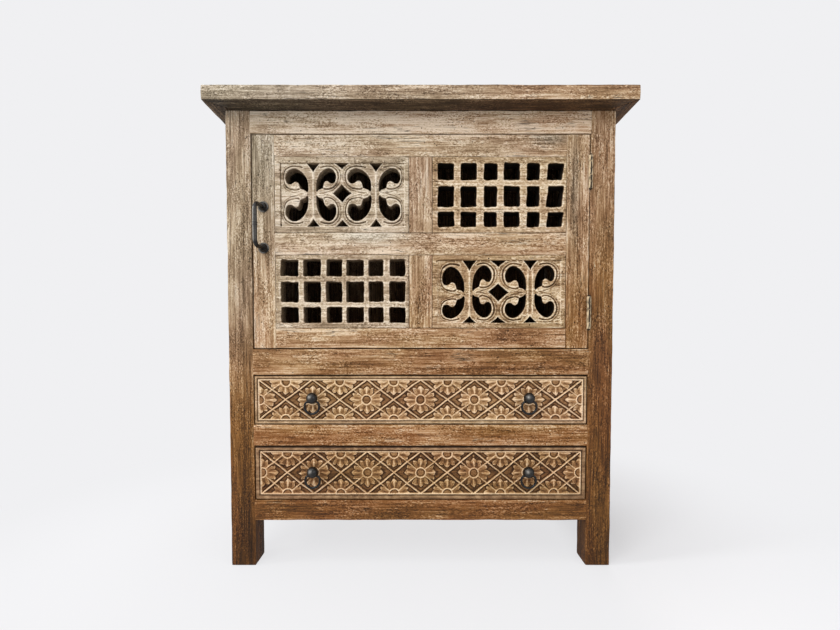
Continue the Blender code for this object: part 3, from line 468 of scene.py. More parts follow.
def scrollCarving(u, v, plan, seed):
    # four mirrored scrolls folded into one: two cut lines round the hole leave two ropes, the stem falls
    # from its crest to the holes, and domes make the bulb of each curl and the bud between two of them
    look = scrollPanel
    cell, high, wide = look["cell"], look["fieldHigh"], look["fieldWide"]
    near, far = look["nearEdge"], look["farEdge"]
    half = np.array([-far, -near, 0, near, far])
    evenPlaces = np.concatenate([[-2 * cell - 1], half - cell, [0], half + cell, [2 * cell + 1]])
    outline = rounded(look["hole"], 4)
    valley, border = rounded(look["valley"], 4, False), rounded(look["border"], 4, False)
    flatU, flatV = u, v
    u, v = wobble(u, v, *look["hand"], seed)
    ends = plan["edges"]
    u = np.interp(u, ends, evenPlaces) + np.minimum(u - ends[0], 0) + np.maximum(u - ends[-1], 0)
    # each half scroll has its own middle height, and the field's edges stay where they are
    middle = np.interp(u, (-1.5 * cell, -0.5 * cell, 0.5 * cell, 1.5 * cell), plan["middles"])
    v = v - middle * (1 - np.clip(v / high, -1, 1) ** 2)
    inU, inV = np.abs(np.abs(u) - cell), np.abs(v)
    fromStem = np.minimum(np.abs(flatU - ends[3]), np.abs(flatU - ends[9]))
    toTop = high - inV

    def notch(across, deep, wideHalf):
        # a triangle standing on the field's edge, its sides bowed like the arches beside it
        climb = np.clip(toTop / deep, 0, 1)
        slant = wideHalf * (1 - climb) ** look["notchBow"] - across
        return -np.minimum.reduce([slant * look["notchLean"], toTop, deep - toTop])

    bean = outlineDistance(inU, inV, outline)
    stemNotch = notch(fromStem, np.where(v > 0, look["topNotch"], look["bottomNotch"]), plan["notchHalf"])
    joinNotch = notch(np.abs(u), look["middleNotch"], look["middleHalf"])
    bow = look["diamondBow"]
    diamond = (np.abs(u) ** bow + np.abs(v) ** bow - look["diamond"] ** bow) * 0.98
    cuts = np.minimum.reduce([stemNotch, joinNotch, diamond])
    openings = np.minimum(bean, cuts)
    sides = dict(left=wide + flatU - plan["middle"], right=wide - flatU + plan["middle"],
                 bottom=high + 0.4 + flatV, top=high + 0.4 - flatV)
    field = np.minimum.reduce(list(sides.values()))
    inField = smooth(field, -0.3, 0.5)
    clear = smooth(openings, 0.4, 1.8)
    valleyAway, borderAway = lineDistance(inU, inV, valley), lineDistance(inU, inV, border)
    lines = (groove(valleyAway, 1.5) + 0.5 * groove(borderAway, 1.2)) * clear
    ropes = np.maximum.reduce([
        groove(valleyAway - look["rope"], 1.2) * smooth(borderAway, 0.4, 1.6),
        0.9 * groove(borderAway - 1.9, 1.0) * smooth(look["ropeEnd"] - inU, 0, 6),
        0.9 * groove(cuts - 1.3, 1.0)])
    lines = lines + 0.7 * groove(inU - 9.4, 0.8) * smooth(5 - inV, 0, 2)
    corners = smooth(bean, 9.4, 10.6) * smooth(openings, 1.0, 3.5) * smooth(borderAway, 0.8, 2.0)
    fromBulb = np.hypot(inU - look["bulb"][0], inV - look["bulb"][1]) / look["bulbRadius"]
    fromBud = np.hypot((inU - look["bud"][0]) / look["bud"][1], inV / look["bud"][2])
    bulb, bud = ridge(fromBulb, 1), ridge(fromBud, 1)
    # a stem has one crest in its middle, or two with a hollow between them
    twin = np.where(u < 0, plan["stems"][0], plan["stems"][1]) > 1
    pair = groove(fromStem - look["twinHalf"], 1.4) - 0.6 * groove(fromStem, 2.2)
    inStem = smooth(high - look["stemEnd"] - inV, -3, 3) * smooth(fromBud, 0.95, 1.2)
    crest = np.where(twin, pair, groove(fromStem, 1.4)) * inStem
    slope = np.clip(inU / look["stemHalf"], 0, 1) * inStem * (inU < look["slopeEnd"])
    nails = np.zeros(u.shape)
    for nailU, nailV in plan["nails"]:
        nails = np.maximum(nails, smooth(np.hypot(flatU - nailU, flatV - nailV), *look["nail"]))
    # edges given plus get a painted shadow line and sink, edges given minus a painted highlight and rise
    rim = sum(plan["edgeShading"][side] * groove(away - 0.2, 0.8) for side, away in sides.items()) * (field > -2)
    rough = flatWaves(u, v, 7, seed + 3)
    marks = dict(
        lines=lines, corners=corners, ropes=ropes, dome=np.maximum(bulb, bud), crest=crest, slope=slope,
        lip=groove(openings - 1.0, 0.9), bulb=bulb, bud=plan["bud"] * bud, stain=plan["corner"] * corners,
        rough=rough, blotch=flatWaves(u, v, 26, seed + 4), inside=smooth(openings, 0.3, -0.3),
        rim=rim, nails=nails)
    carving = np.maximum(weighed(look["lowered"], look["relief"], marks), 0)
    depth = inField * carving + look["rimDeep"] * rim + roundedOver(openings, look["edge"])
    depth = np.maximum(depth + look["nailDeep"] * nails + look["toolMarks"] * (1 + rough), 0)
    tone = inField * weighed(plan["pale"], look["tones"], marks)
    tone = tone + (1 - inField) * (plan["margin"] + look["marginRough"] * rough)
    return openings, depth, weighed(tone, look["marginTones"], marks), 0 * tone


gridPanel = dict(
    round=3.2, wearAndHighlight=1.5, lowered=0.8, uneven=0.5, toolMarks=0.1, slip=0.8, slant=0.03, hand=(16, 0.8),
    tones=dict(field=0.12, lip=0.18, rough=0.10, chips=0.08, inside=-0.6))


def gridCarving(u, v, plan, seed):
    # rounded square holes between the listed edges, each a little off true and softened by the carver's hand
    look = gridPanel
    columns, rows = plan["columns"], plan["rows"]
    draw = np.random.default_rng(seed)
    wornU, wornV = wobble(u, v, *look["hand"], seed)
    openings = np.full(u.shape, farAway)
    for (left, right), lean in zip(columns, plan["leans"]):
        for bottom, top in rows:
            slip = draw.uniform(-look["slip"], look["slip"], 4)
            slant = lean + draw.uniform(-look["slant"], look["slant"])
            tilt = draw.uniform(-look["slant"], look["slant"])
            middleU, middleV = (left + right + slip[0]) / 2, (bottom + top + slip[1]) / 2
            au = np.abs(wornU - middleU - slant * (wornV - middleV)) - (right - left + slip[2]) / 2
            av = np.abs(wornV - middleV - tilt * (wornU - middleU)) - (top - bottom + slip[3]) / 2
            au, av = au + look["round"], av + look["round"]
            away = np.hypot(np.maximum(au, 0), np.maximum(av, 0)) + np.minimum(np.maximum(au, av), 0)
            openings = np.minimum(openings, away - look["round"])
    field = np.minimum.reduce([
        wornU - columns[0][0], columns[-1][1] - wornU, wornV - rows[0][0], rows[-1][1] - wornV])
    inField, rough = smooth(field, -1.5, 1.5), flatWaves(u, v, 9, seed + 3)
    depth = inField * look["lowered"] * (1 + look["uneven"] * rough) + roundedOver(openings, look["wearAndHighlight"])
    depth = np.maximum(depth + look["toolMarks"] * (1 + rough), 0)
    marks = dict(field=inField, lip=groove(openings - 1.7, 1.1), rough=rough,
                 chips=flatWaves(u, v, 5, seed + 5), inside=smooth(openings, 0.3, -0.3))
    tone = weighed(plan["pale"], look["tones"], marks)
    return openings, depth, tone, 0 * tone


latticeFront = dict(
    pitches=6, ground=5.0, rib=1.75, spike=1.55, reachX=32.5, reachZ=0.69, sideLobe=0.94, ring=9.5,
    ringHalf=1.65, tuckTop=3.4, tuckBottom=0.8, tuckSide=1.6, pellet=1.9, pelletPlace=0.78, hand=(30, 0.8),
    # the hand's share in a leaf's length, height and turn, and how the tips of lobes fall away
    uneven=(0.08, 0.06, 0.12), tipFall=0.5, sideFall=0.6, cutFall=0.95,
    # heights in mm over the ground
    spikeHigh=3.9, ringHigh=4.7, ribHigh=4.8, pelletHigh=3.2, leafHigh=2.7, bedHigh=0.4, bedRough=0.35,
    hollowHigh=2.6, hollowBow=0.02, seatDeep=0.8, frameLow=0.2, frameCut=2.4, toolMarks=0.08,
    leafRelief=dict(swell=0.9, gaps=-1.7, hatch=-0.8, midrib=0.6),
    # tones of the leaf, the bed under it, the ring's hollow, the frame and the crests, which are rubbed pale
    # and carry painted highlight; the bed's shade and the hollow's seat are painted shade, and tipLine a
    # painted highlight along the leaf's edge
    leaf=0.82, leafTones=dict(tipLine=0.18, gaps=-0.95, hatch=-0.42, midrib=0.1),
    bed=0.36, bedTones=dict(drift=0.10, shade=-0.62), flowerTones=dict(rough=0.07, moat=-0.24),
    hollow=0.42, hollowTones=dict(rough=0.05, seat=-0.4),
    frame=0.56, frameTones=dict(rough=0.05, drift=0.14, cut=-0.5), frameGrey=0.26,
    rubbed=1.0, rubbedLift=0.5, rubbedRough=0.08, rubbedPower=0.7, spikeShare=0.86, pelletShare=0.8,
)


def latticeCarving(u, v, halfWide, halfHigh, seed, border, lift, seamShade, pellets):
    # flowers on a diamond lattice: both lattice directions are folded to the nearest flower, so one is drawn
    # everywhere: a ring, a spike to each rib and, between the spikes, four leaves of three lobes, which are
    # 30 degrees apart in stretched polar places
    look = latticeFront
    fieldWide, fieldHigh = halfWide - border, halfHigh - border
    a, b = fieldWide / look["pitches"], fieldHigh
    measure = 2 / math.hypot(1 / a, 1 / b)
    handU, handV = wobble(u, v, *look["hand"], seed)
    s, t = (handU / a + handV / b) / 2, (handU / a - handV / b) / 2
    nearS, nearT = np.round(s), np.round(t)
    s, t = s - nearS, t - nearT
    x, z = a * (s + t), b * (s - t)
    # flowers on the border are tucked a little way into the field
    column, row = nearS + nearT, nearS - nearT
    x = x + look["tuckSide"] * np.sign(column) * (np.abs(column) > look["pitches"] - 0.5)
    z = z + look["tuckTop"] * (row > 0.5) - look["tuckBottom"] * (row < -0.5)
    ribAway = (0.5 - np.maximum(np.abs(s), np.abs(t))) * measure
    spikeAway = np.minimum(np.abs(s), np.abs(t)) * measure
    away = np.hypot(x, z)
    ringAway = away - look["ring"]
    rough, drift = flatWaves(u, v, 6, seed + 3), flatWaves(u, v, 17, seed + 4)
    longer, lower, turned = look["uneven"]
    reachX, reachZ = look["reachX"] * (1 + longer * drift), look["reachZ"] * b * (1 - lower * drift)
    out = np.hypot(x / reachX, z / reachZ)
    # lobes: a pointed one on each axis and a round one to either side of it, cut slantwise at the spike
    lobeAngle = math.pi / 6
    sector = np.arctan2(z / reachZ, x / reachX) / lobeAngle + turned * drift
    lobe = np.round(sector)
    off = sector - lobe
    onAxis = lobe % 3 == 0
    toSpike = np.where(onAxis, -np.abs(off), np.where(lobe % 3 == 1, off, -off))
    arc = lobeAngle * away
    fall = np.where(toSpike > 0, look["cutFall"] * toSpike, look["sideFall"] * off ** 2)
    tip = np.where(onAxis, 1 - look["tipFall"] * np.abs(off) ** 1.2, look["sideLobe"] - fall)
    toTip = (tip - out) * np.minimum(reachX, reachZ)
    petals = smooth(toTip, -0.2, 1.0) * smooth(ribAway, 2.2, 3.6)
    gaps = groove((0.5 - np.abs(off)) * arc, 1.4) * smooth(out, 0.3, 0.6) * np.where(toSpike > 0, 1.0, 0.7)
    veins = np.where(onAxis, 0, groove(off * arc, 0.95))
    hatch = np.maximum(groove((np.abs(off) - 0.25) * arc, 0.95), veins)
    hatch = hatch * smooth(out, 0.3, 0.5) * smooth(toTip, 1.0, 4.0)
    shade = np.maximum(groove(ribAway - look["rib"] - 1.0, 1.1), groove(toTip + 1.3, 1.1)) * (1 - petals)
    q = np.minimum(fieldWide - np.abs(u), fieldHigh - np.abs(v))
    rail = ridge(q - 0.5, 1.4) * (q > -0.9)
    framed = smooth(q, 0.6, 0.4)
    hollow = smooth(away, look["ring"], look["ring"] - 1.0)
    marks = dict(
        swell=np.sin(math.pi * np.clip(out, 0, 1)), gaps=gaps, hatch=hatch, rough=rough, drift=drift,
        midrib=np.where(onAxis, groove(off * arc, 0.9), 0), tipLine=groove(toTip - 1.0, 0.9), shade=shade,
        seat=groove(ringAway + 2.2, 0.9), moat=groove(ringAway - 2.6, 0.9), cut=groove(q + 2.1, 0.9))
    height = petals * weighed(look["leafHigh"], look["leafRelief"], marks)
    height = np.maximum(height, look["bedHigh"] + look["bedRough"] * rough)
    ring = ridge(ringAway, look["ringHalf"])
    spike = ridge(spikeAway, look["spike"]) * (away > look["ring"])
    rib = ridge(ribAway, look["rib"])
    height = np.maximum(height, look["spikeHigh"] * spike)
    bowl = look["hollowHigh"] - look["hollowBow"] * away ** 2 - look["seatDeep"] * marks["seat"]
    height = height * (1 - hollow) + hollow * bowl
    height = np.maximum.reduce([height, look["ringHigh"] * ring, look["ribHigh"] * rib])
    crest = np.maximum.reduce([ring, rib, look["spikeShare"] * spike])
    if pellets:
        bead = ridge(np.hypot(x, z - look["pelletPlace"] * b), look["pellet"])
        height = np.maximum(height, look["pelletHigh"] * bead)
        crest = np.maximum(crest, look["pelletShare"] * bead)
    frameHigh = look["ground"] - look["frameLow"] - look["frameCut"] * marks["cut"]
    height = height * (1 - framed) + framed * frameHigh
    height = np.clip(np.maximum(height, look["ribHigh"] * rail), 0, look["ground"])
    crest = np.maximum(crest * (1 - framed), rail)
    leaf, bed = (weighed(look[kind] + lift, look[kind + "Tones"], marks) for kind in ("leaf", "bed"))
    tone = weighed(bed + petals * (leaf - bed), look["flowerTones"], marks)
    tone = tone * (1 - hollow) + hollow * weighed(look["hollow"], look["hollowTones"], marks)
    tone = tone * (1 - framed) + framed * weighed(look["frame"] + lift, look["frameTones"], marks)
    # the crests' paleness is partly rubbed wear and partly painted highlight
    rubbed = look["rubbed"] + look["rubbedLift"] * lift + look["rubbedRough"] * rough
    tone = np.maximum(tone, rubbed * crest ** look["rubbedPower"])
    # painted shade lies along the front's upper edge, below the dark gap over the drawer
    tone = tone - seamShade * smooth(halfHigh - v, 2.6, 0.8)
    depth = look["ground"] - height + look["toolMarks"] * (1 + rough)
    return np.full(u.shape, farAway), depth, tone, look["frameGrey"] * framed


# ironwork

def lathe(profile, count, centre, outwards):
    # a profile of radius and height turned about an axis; the first and last places are the poles
    profile = np.array(profile, float)
    outwards = np.array(outwards, float)
    sideA = np.cross(outwards, [0.3, 0.5, 0.9])
    sideA /= np.linalg.norm(sideA)
    sideB = np.cross(outwards, sideA)
    turn = 2 * math.pi * np.arange(count) / count
    spoke = np.cos(turn)[:, None] * sideA + np.sin(turn)[:, None] * sideB
    body = profile[1:-1]
    rings = body[:, 0, None, None] * spoke[None] + body[:, 1, None, None] * outwards
    poles = profile[[0, -1], 1][:, None] * outwards
    points = np.concatenate([rings.reshape(-1, 3), poles]) + np.array(centre)
    index, quads = tube(len(body), count)
    fans = [
        np.stack([ring, np.roll(ring, -1), np.full(count, pole)], 1)
        for ring, pole in ((index[0], index.size), (index[-1], index.size + 1))]
    return dict(points=points, faces=[quads] + fans, marks={})


def rod(path, radii, side, count, closed):
    # a circle carried along a flat path: one spoke lies in the path's plane, the other stands square to it
    path, side = np.array(path, float), np.array(side, float)
    if closed:
        ahead = np.roll(path, -1, 0) - np.roll(path, 1, 0)
    else:
        ahead = np.gradient(path, axis=0)
    ahead /= np.linalg.norm(ahead, axis=1)[:, None]
    spokeA = np.cross(side, ahead)
    turn = 2 * math.pi * np.arange(count) / count
    spread = np.cos(turn)[None, :, None] * spokeA[:, None] + np.sin(turn)[None, :, None] * side
    points = path[:, None] + np.array(radii)[:, None, None] * spread
    index, quads = tube(len(path), count, closed)
    faces = [quads] if closed else [quads, index[:1, ::-1], index[-1:]]
    return dict(points=points.reshape(-1, 3), faces=faces, marks={})


def arcPath(centre, radius, start, end, count):
    # places on a circle from one angle to another, in degrees
    angle = np.radians(np.linspace(start, end, count))
    return np.stack([centre[0] + radius * np.cos(angle), centre[1] + radius * np.sin(angle)], 1)


# materials

def newMaterial(name):
    # an empty material, and addNode for its own tree
    material = bpy.data.materials.new(name)
    material.use_nodes = True
    material.node_tree.nodes.clear()
    return material, partial(addNode, material.node_tree)


soft, times = dict(interpolation_type="SMOOTHSTEP"), dict(operation="MULTIPLY")
blend, larger = dict(operation="MULTIPLY_ADD"), dict(operation="MAXIMUM")
teakLook = dict(
    # each pattern: length along the grain and width across it in mm, detail and distortion; torn fibres and
    # vessels are under 0.5 mm wide in real teak, so speckle and flecks are drawn about 2 mm wide to show
    patterns=dict(
        speckle=(3.6, 2.0, 3.0, 0.0), streaks=(75, 3.0, 5.0, 0.2), figure=(330, 10, 4.0, 0.5),
        cloud=(95, 30, 3.0, 0.4), flecks=(9.0, 1.9, 2.0, 0.0), checks=(230, 10, 3.0, 0.5),
        drift=(260, 60, 2.0, 0.0), torn=(60, 24, 3.0, 0.3)),
    # what patterns and marks add to the tone, and then to the height of the grain
    shares=dict(speckle=0.85, streaks=0.82, figure=0.6, cloud=0.68),
    marks=dict(flecks=-0.36, flakes=0.28, edge=0.10),
    figureHigh=0.6, heights=dict(streaks=0.8, speckle=0.5, flecks=-0.35, holes=-1.0),
    # each map: the two ends of what goes in, and of what comes out
    spans=dict(
        torn=(0.38, 0.62, 0.35, 1.5), broad=(0.1, 0.65, 0.5, 1.05), fine=(0.1, 0.65, 0.78, 1.05),
        flecks=(0.58, 0.72), flakes=(0.42, 0.30), checks=(0.014, 0.004), dry=(0.52, 0.66),
        warmth=(0.3, 0.7, 0.495, 0.505), rough=(0.0, 1.0, 0.62, 0.86)),
    swing=(0.28, 0.72), noiseRough=0.7, specular=0.2, bumpHigh=0.0012,
    pitApart=12, pitWide=1.3, pitCore=0.55, pitColour="#2A1A0D", pitShare=0.85,
    # the colours stand at these levels, the darkest for wood out of the light
    levels=(-0.4, 0.0, 0.35, 0.65, 1.0), limed=("#211A12", "#453A2C", "#7D6F5B", "#AA9C87", "#D6CBBA"),
)


def teakMaterial(name, palette, streak, weather, relief):
    # old teak, brushed and limed: dull open grain, pale film on raised wood, dark checks, pits and flecks
    material, add = newMaterial(name)
    look, spans = teakLook, teakLook["spans"]
    grain = add("Attribute", dict(attribute_name="grain"), out="Vector")
    tone, grey, edge = (
        add("Attribute", dict(attribute_name=mark), out="Fac") for mark in ("tone", "grey", "edge"))
    field = {}
    for pattern, (along, across, detail, distortion) in look["patterns"].items():
        scale = (1000 / along, 1000 / across, 1000 / across)
        spot = add("VectorMath", times, {0: grain, 1: scale})
        field[pattern] = add("TexNoise", None, {
            "Vector": spot, "Scale": 1.0, "Detail": detail, "Roughness": look["noiseRough"],
            "Distortion": distortion})
    # fine marks lie thick where the brush tore the wood and thin elsewhere; they and the broad figure fade
    # towards darker wood
    torn = add("MapRange", dict(soft, span=spans["torn"]), {"Value": field["torn"]})
    broad, fine = (add("MapRange", dict(span=spans[kind]), {"Value": tone}) for kind in ("broad", "fine"))
    torn = add("Math", times, {0: torn, 1: fine})
    level = tone
    for pattern, share in look["shares"].items():
        reach = 0.5 * share * streak
        swing = add("MapRange", dict(soft, span=(*look["swing"], -reach, reach)), {"Value": field[pattern]})
        spread = dict(speckle=torn, streaks=1.0).get(pattern, broad)
        level = add("Math", blend, {0: swing, 1: spread, 2: level})
    # dark flecks where the noise is high, pale flakes where it is low, checks along one of its contours
    marks = dict(edge=edge)
    for kind in ("flecks", "flakes"):
        mark = add("MapRange", dict(soft, span=spans[kind]), {"Value": field["flecks"]})
        marks[kind] = add("Math", times, {0: mark, 1: torn})
    offContour = add("Math", dict(operation="SUBTRACT"), {0: field["checks"], 1: 0.5})
    offContour = add("Math", dict(operation="ABSOLUTE"), {0: offContour})
    checks = add("MapRange", dict(soft, span=spans["checks"]), {"Value": offContour})
    dry = add("MapRange", dict(soft, span=spans["dry"]), {"Value": field["cloud"]})
    checks = add("Math", times, {0: checks, 1: dry})
    pitSpot = add("VectorMath", dict(operation="SCALE"), {0: grain, "Scale": 1000 / look["pitApart"]})
    pitAway = add("TexVoronoi", None, {"Vector": pitSpot, "Scale": 1.0})
    wide = look["pitWide"] / look["pitApart"]
    pits = add("MapRange", dict(soft, span=(wide, wide * look["pitCore"])), {"Value": pitAway})
    holes = add("Math", larger, {0: checks, 1: pits})
    for kind, share in look["marks"].items():
        level = add("Math", blend, {0: marks[kind], 1: share * weather, 2: level})
    low, high = look["levels"][0], look["levels"][-1]
    level = add("MapRange", dict(span=(low, high)), {"Value": level})
    places = [(place - low) / (high - low) for place in look["levels"]]
    bare, film = (
        add("ValToRGB", dict(stops=list(zip(places, colours))), {"Fac": level})
        for colours in (palette, look["limed"]))
    colour = add("MixRGB", dict(use_clamp=True), {0: grey, 1: bare, 2: film})
    warmth = add("MapRange", dict(soft, span=spans["warmth"]), {"Value": field["drift"]})
    colour = add("HueSaturation", None, {"Hue": warmth, "Color": colour})
    gaps = add("Math", times, {0: holes, 1: look["pitShare"] * weather})
    colour = add("MixRGB", None, {0: gaps, 1: colour, 2: linearColour(look["pitColour"])})
    raised = dict(streaks=field["streaks"], speckle=field["speckle"], flecks=marks["flecks"], holes=holes)
    height = add("Math", times, {0: field["figure"], 1: look["figureHigh"]})
    for kind, share in look["heights"].items():
        height = add("Math", blend, {0: raised[kind], 1: share, 2: height})
    bump = add("Bump", None, {"Strength": relief, "Distance": look["bumpHigh"], "Height": height})
    rough = add("MapRange", dict(span=spans["rough"]), {"Value": field["streaks"]})
    shader = add("BsdfPrincipled", None, {
        "Base Color": colour, "Roughness": rough, "IOR": 1.5, "Specular IOR Level": look["specular"],
        "Normal": bump})
    add("OutputMaterial", None, {"Surface": shader})
    return material


ironLook = dict(
    patch=9.0, darkEnd=0.35, lightEnd=0.7, smoother=0.08, rougher=0.12, bump=0.14, bumpHigh=0.0004)


def ironMaterial(name, dark, light, film, roughness, grit, shine):
    # forged iron under black wax or lime: soft highlights over a faintly hammered skin, paler where the tone
    # mark lays on the film colour, which is lime on the hinges and painted highlight on the black iron; grit
    # and patch are the sizes of hammer marks and of wax in mm
    look = ironLook
    material, add = newMaterial(name)
    spot = add("TexCoord", out="Object")
    hammer = add("TexNoise", None, {"Vector": spot, "Scale": 1000 / grit, "Detail": 3.0})
    patches = add("TexNoise", None, {"Vector": spot, "Scale": 1000 / look["patch"], "Detail": 4.0})
    stops = [(look["darkEnd"], dark), (look["lightEnd"], light)]
    colour = add("ValToRGB", dict(stops=stops), {"Fac": patches})
    painted = add("Attribute", dict(attribute_name="tone"), out="Fac")
    colour = add("MixRGB", dict(use_clamp=True), {0: painted, 1: colour, 2: linearColour(film)})
    span = (0.0, 1.0, roughness - look["smoother"], roughness + look["rougher"])
    rough = add("MapRange", dict(span=span), {"Value": patches})
    bump = add("Bump", None, {"Strength": look["bump"], "Distance": look["bumpHigh"], "Height": hammer})
    shader = add("BsdfPrincipled", None, {
        "Base Color": colour, "Roughness": rough, "Specular IOR Level": shine, "Normal": bump})
    add("OutputMaterial", None, {"Surface": shader})
    return material


caseTeak = teakMaterial(
    "limed_brushed_teak", ("#1F1308", "#4C2E12", "#805328", "#B0885E", "#D8BE9E"), 0.62, 1.0, 1.0)
drawerTeak = teakMaterial(
    "planed_drawer_teak", ("#3A2614", "#6B4A2C", "#96704A", "#B8946C", "#D2B48F"), 0.4, 0.5, 0.4)
carvedDoorTeak = teakMaterial(
    "limed_carved_teak", ("#0C0804", "#33210F", "#7C5B38", "#B4956F", "#E6D4B8"), 0.5, 0.9, 0.6)
carvedDrawerTeak = teakMaterial(
    "waxed_carved_teak", ("#1B0F05", "#38210D", "#7A532D", "#B0885A", "#E4C59F"), 0.26, 0.5, 0.5)
# the black iron's film colour is laid on only as painted highlight, by each piece's tone mark
blackIron = ironMaterial("black_waxed_iron", "#040303", "#110F0D", "#A39E96", 0.26, 2.2, 0.32)
hingeSteel = ironMaterial("limed_hinge_steel", "#120C07", "#3A2A1B", "#CFB996", 0.6, 1.6, 0.25)
print("materials made")


# case

alongX, alongY, alongZ = 0, 1, 2
tenonLength, clearance = 18.2 * mm, 0.3 * mm
slabLook = dict(
    radius=1.3 * mm, step=9 * mm, pace=6 * mm, wear=0.8 * mm, wave=0.2 * mm,
    lift=-0.14, lean=-0.2, under=0.48)
caseLook = dict(radius=1.6 * mm, step=6 * mm, pace=6 * mm, wear=0.9 * mm, wave=0.15 * mm)
plainLook = dict(radius=1.0 * mm, step=14 * mm, pace=14 * mm, wear=0.4 * mm, wave=0.1 * mm)
# stains and bleached places, with a few ovals of painted shadow, highlight and sheen among them: x, z and
# reach both ways in metres, change of tone, share of lime
stainsAndPaintedLight = dict(
    top_front_board=(
        (-0.28, 0.895, 0.2, 0.05, 0.02, 0.35), (0.05, 0.895, 0.12, 0.05, 0.0, 0.2),
        (0.36, 0.895, 0.08, 0.05, -0.06, 0.05)),
    # the left post's dark oval at 0.85 is painted shadow of the slab, and its thin pale strip at -0.327 is
    # partly a worn arris and partly painted highlight
    post_front_left=(
        (-0.35, 0.85, 0.05, 0.04, -0.28, 0), (-0.355, 0.71, 0.05, 0.05, -0.06, 0),
        (-0.327, 0.79, 0.005, 0.05, 0.28, 0), (-0.352, 0.775, 0.05, 0.04, -0.15, 0),
        (-0.35, 0.5, 0.05, 0.12, 0.10, 0.25), (-0.35, 0.05, 0.05, 0.07, -0.12, 0)),
    post_front_right=(
        (0.35, 0.302, 0.05, 0.05, -0.05, 0), (0.35, 0.08, 0.05, 0.1, 0.10, 0),
        (0.35, 0.56, 0.05, 0.08, -0.03, -0.15), (0.35, 0.845, 0.05, 0.03, 0.06, 0.1)),
    front_top_rail=((0.0, 0.86, 0.12, 0.05, 0.06, 0), (-0.295, 0.86, 0.05, 0.05, -0.25, 0)),
    front_middle_rail=((-0.2, 0.4, 0.12, 0.05, 0.06, 0), (0.2, 0.4, 0.12, 0.05, -0.06, 0)),
    door_handle_stile=((-0.297, 0.8, 0.06, 0.1, -0.10, 0.3),),
    door_hinge_stile=(
        (0.295, 0.738, 0.010, 0.1, -0.32, 0.4), (0.3, 0.77, 0.05, 0.06, 0.07, 0),
        (0.3, 0.5, 0.05, 0.11, -0.19, -0.1)),
    door_top_rail=(
        (0.25, 0.83, 0.035, 0.012, -0.2, 0.5), (0.16, 0.815, 0.12, 0.03, 0.07, 0.12),
        (-0.16, 0.815, 0.1, 0.03, -0.09, 0.1)),
    # the first, pale grey oval on the middle rail is a painted sheen
    door_middle_rail=(
        (-0.094, 0.648, 0.06, 0.016, 0.12, 0.6), (-0.15, 0.63, 0.1, 0.03, 0.03, 0.1),
        (0.16, 0.63, 0.12, 0.03, -0.09, -0.05)),
    door_bottom_rail=((0.2, 0.45, 0.1, 0.05, -0.08, 0),),
)


onCase, onDoor = ("carcass", "case_teak", caseTeak), ("door", "door_teak", caseTeak)
inWood, inIron = ("drawer_wood", drawerTeak, "wood"), ("black_iron", blackIron, "iron")


def nodeBoard(node, along, seed, look, trim=0.0, right=0.0, below=0.0, above=0.0, **changes):
    # a board in a node's box, less the tenons that its joints hide, and grown a little into a gap beside it
    low, high = np.array(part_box(node))
    low[along] += trim
    high[along] -= trim
    high[alongX] += right
    low[alongZ] -= below
    high[alongZ] += above
    return board(low, high, along, seed, {**look, "patches": stainsAndPaintedLight.get(node, ()), **changes})


topBoards = (
    ("top_front_board", alongX, (alongY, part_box("top_front_board")[0][1], 1, -1)),
    ("top_left_board", alongY, (alongX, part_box("top_left_board")[0][0], 1, 0)),
    ("top_right_board", alongY, (alongX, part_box("top_right_board")[1][0], -1, 0)))
for k, (node, along, mitre) in enumerate(topBoards):
    putPiece(node, nodeBoard(node, along, 11 + k, slabLook, mitre=mitre), *onCase)
putPiece("top_panel", planks("top_panel", alongX, alongY, 3, 21, slabLook), *onCase)

for k, node in enumerate(("post_front_left", "post_front_right", "post_rear_left", "post_rear_right")):
    putPiece(node, nodeBoard(node, alongZ, 31 + k, caseLook, step=5 * mm), *onCase)

railLift = dict(
    front_top_rail=0.18, front_middle_rail=0.14, drawer_divider_rail=0.28, front_bottom_rail=0.17)
for k, (node, lift) in enumerate(railLift.items()):
    rail = nodeBoard(node, alongX, 41 + k, caseLook, tenonLength, lift=lift)
    putPiece(node, rail, *onCase)

panelLook = {**caseLook, "step": 9 * mm, "pace": 9 * mm}
for side, railSeed, panelSeed in (("left", 56, 70), ("right", 51, 61)):
    for k, place in enumerate(("top", "bottom")):
        node = f"side_{place}_rail_{side}"
        rail = nodeBoard(node, alongY, railSeed + k, caseLook, tenonLength)
        putPiece(node, rail, *onCase)
    node = f"side_panel_{side}"
    putPiece(node, planks(node, alongZ, alongY, 2, panelSeed, panelLook), *onCase)

backLook = {**plainLook, "step": 7 * mm, "radius": 2.4 * mm, "lift": -0.06, "climb": 0.5}
putPiece("back_panel", planks("back_panel", alongZ, alongX, 5, 81, backLook), *onCase)

# the cupboard floor is four boards side by side: the first and the last fit between the posts
floorLook = {**plainLook, "lift": -0.12, "climb": 0.3}
low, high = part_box("cupboard_floor")
postLow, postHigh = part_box("post_front_right")
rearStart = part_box("post_rear_right")[0][1]
inset, seam = postLow[0] - clearance, (0.02, 0.0206)
strips = (
    (low[1], postHigh[1], inset), (postHigh[1] + clearance, seam[0], high[0]),
    (seam[1], rearStart - clearance, high[0]), (rearStart, high[1], inset))
floorBoards = [
    board((-half, start, low[2]), (half, end, high[2]), alongX, 91 + k, floorLook)
    for k, (start, end, half) in enumerate(strips)]
putPiece("cupboard_floor", joinShapes(floorBoards), *onCase)

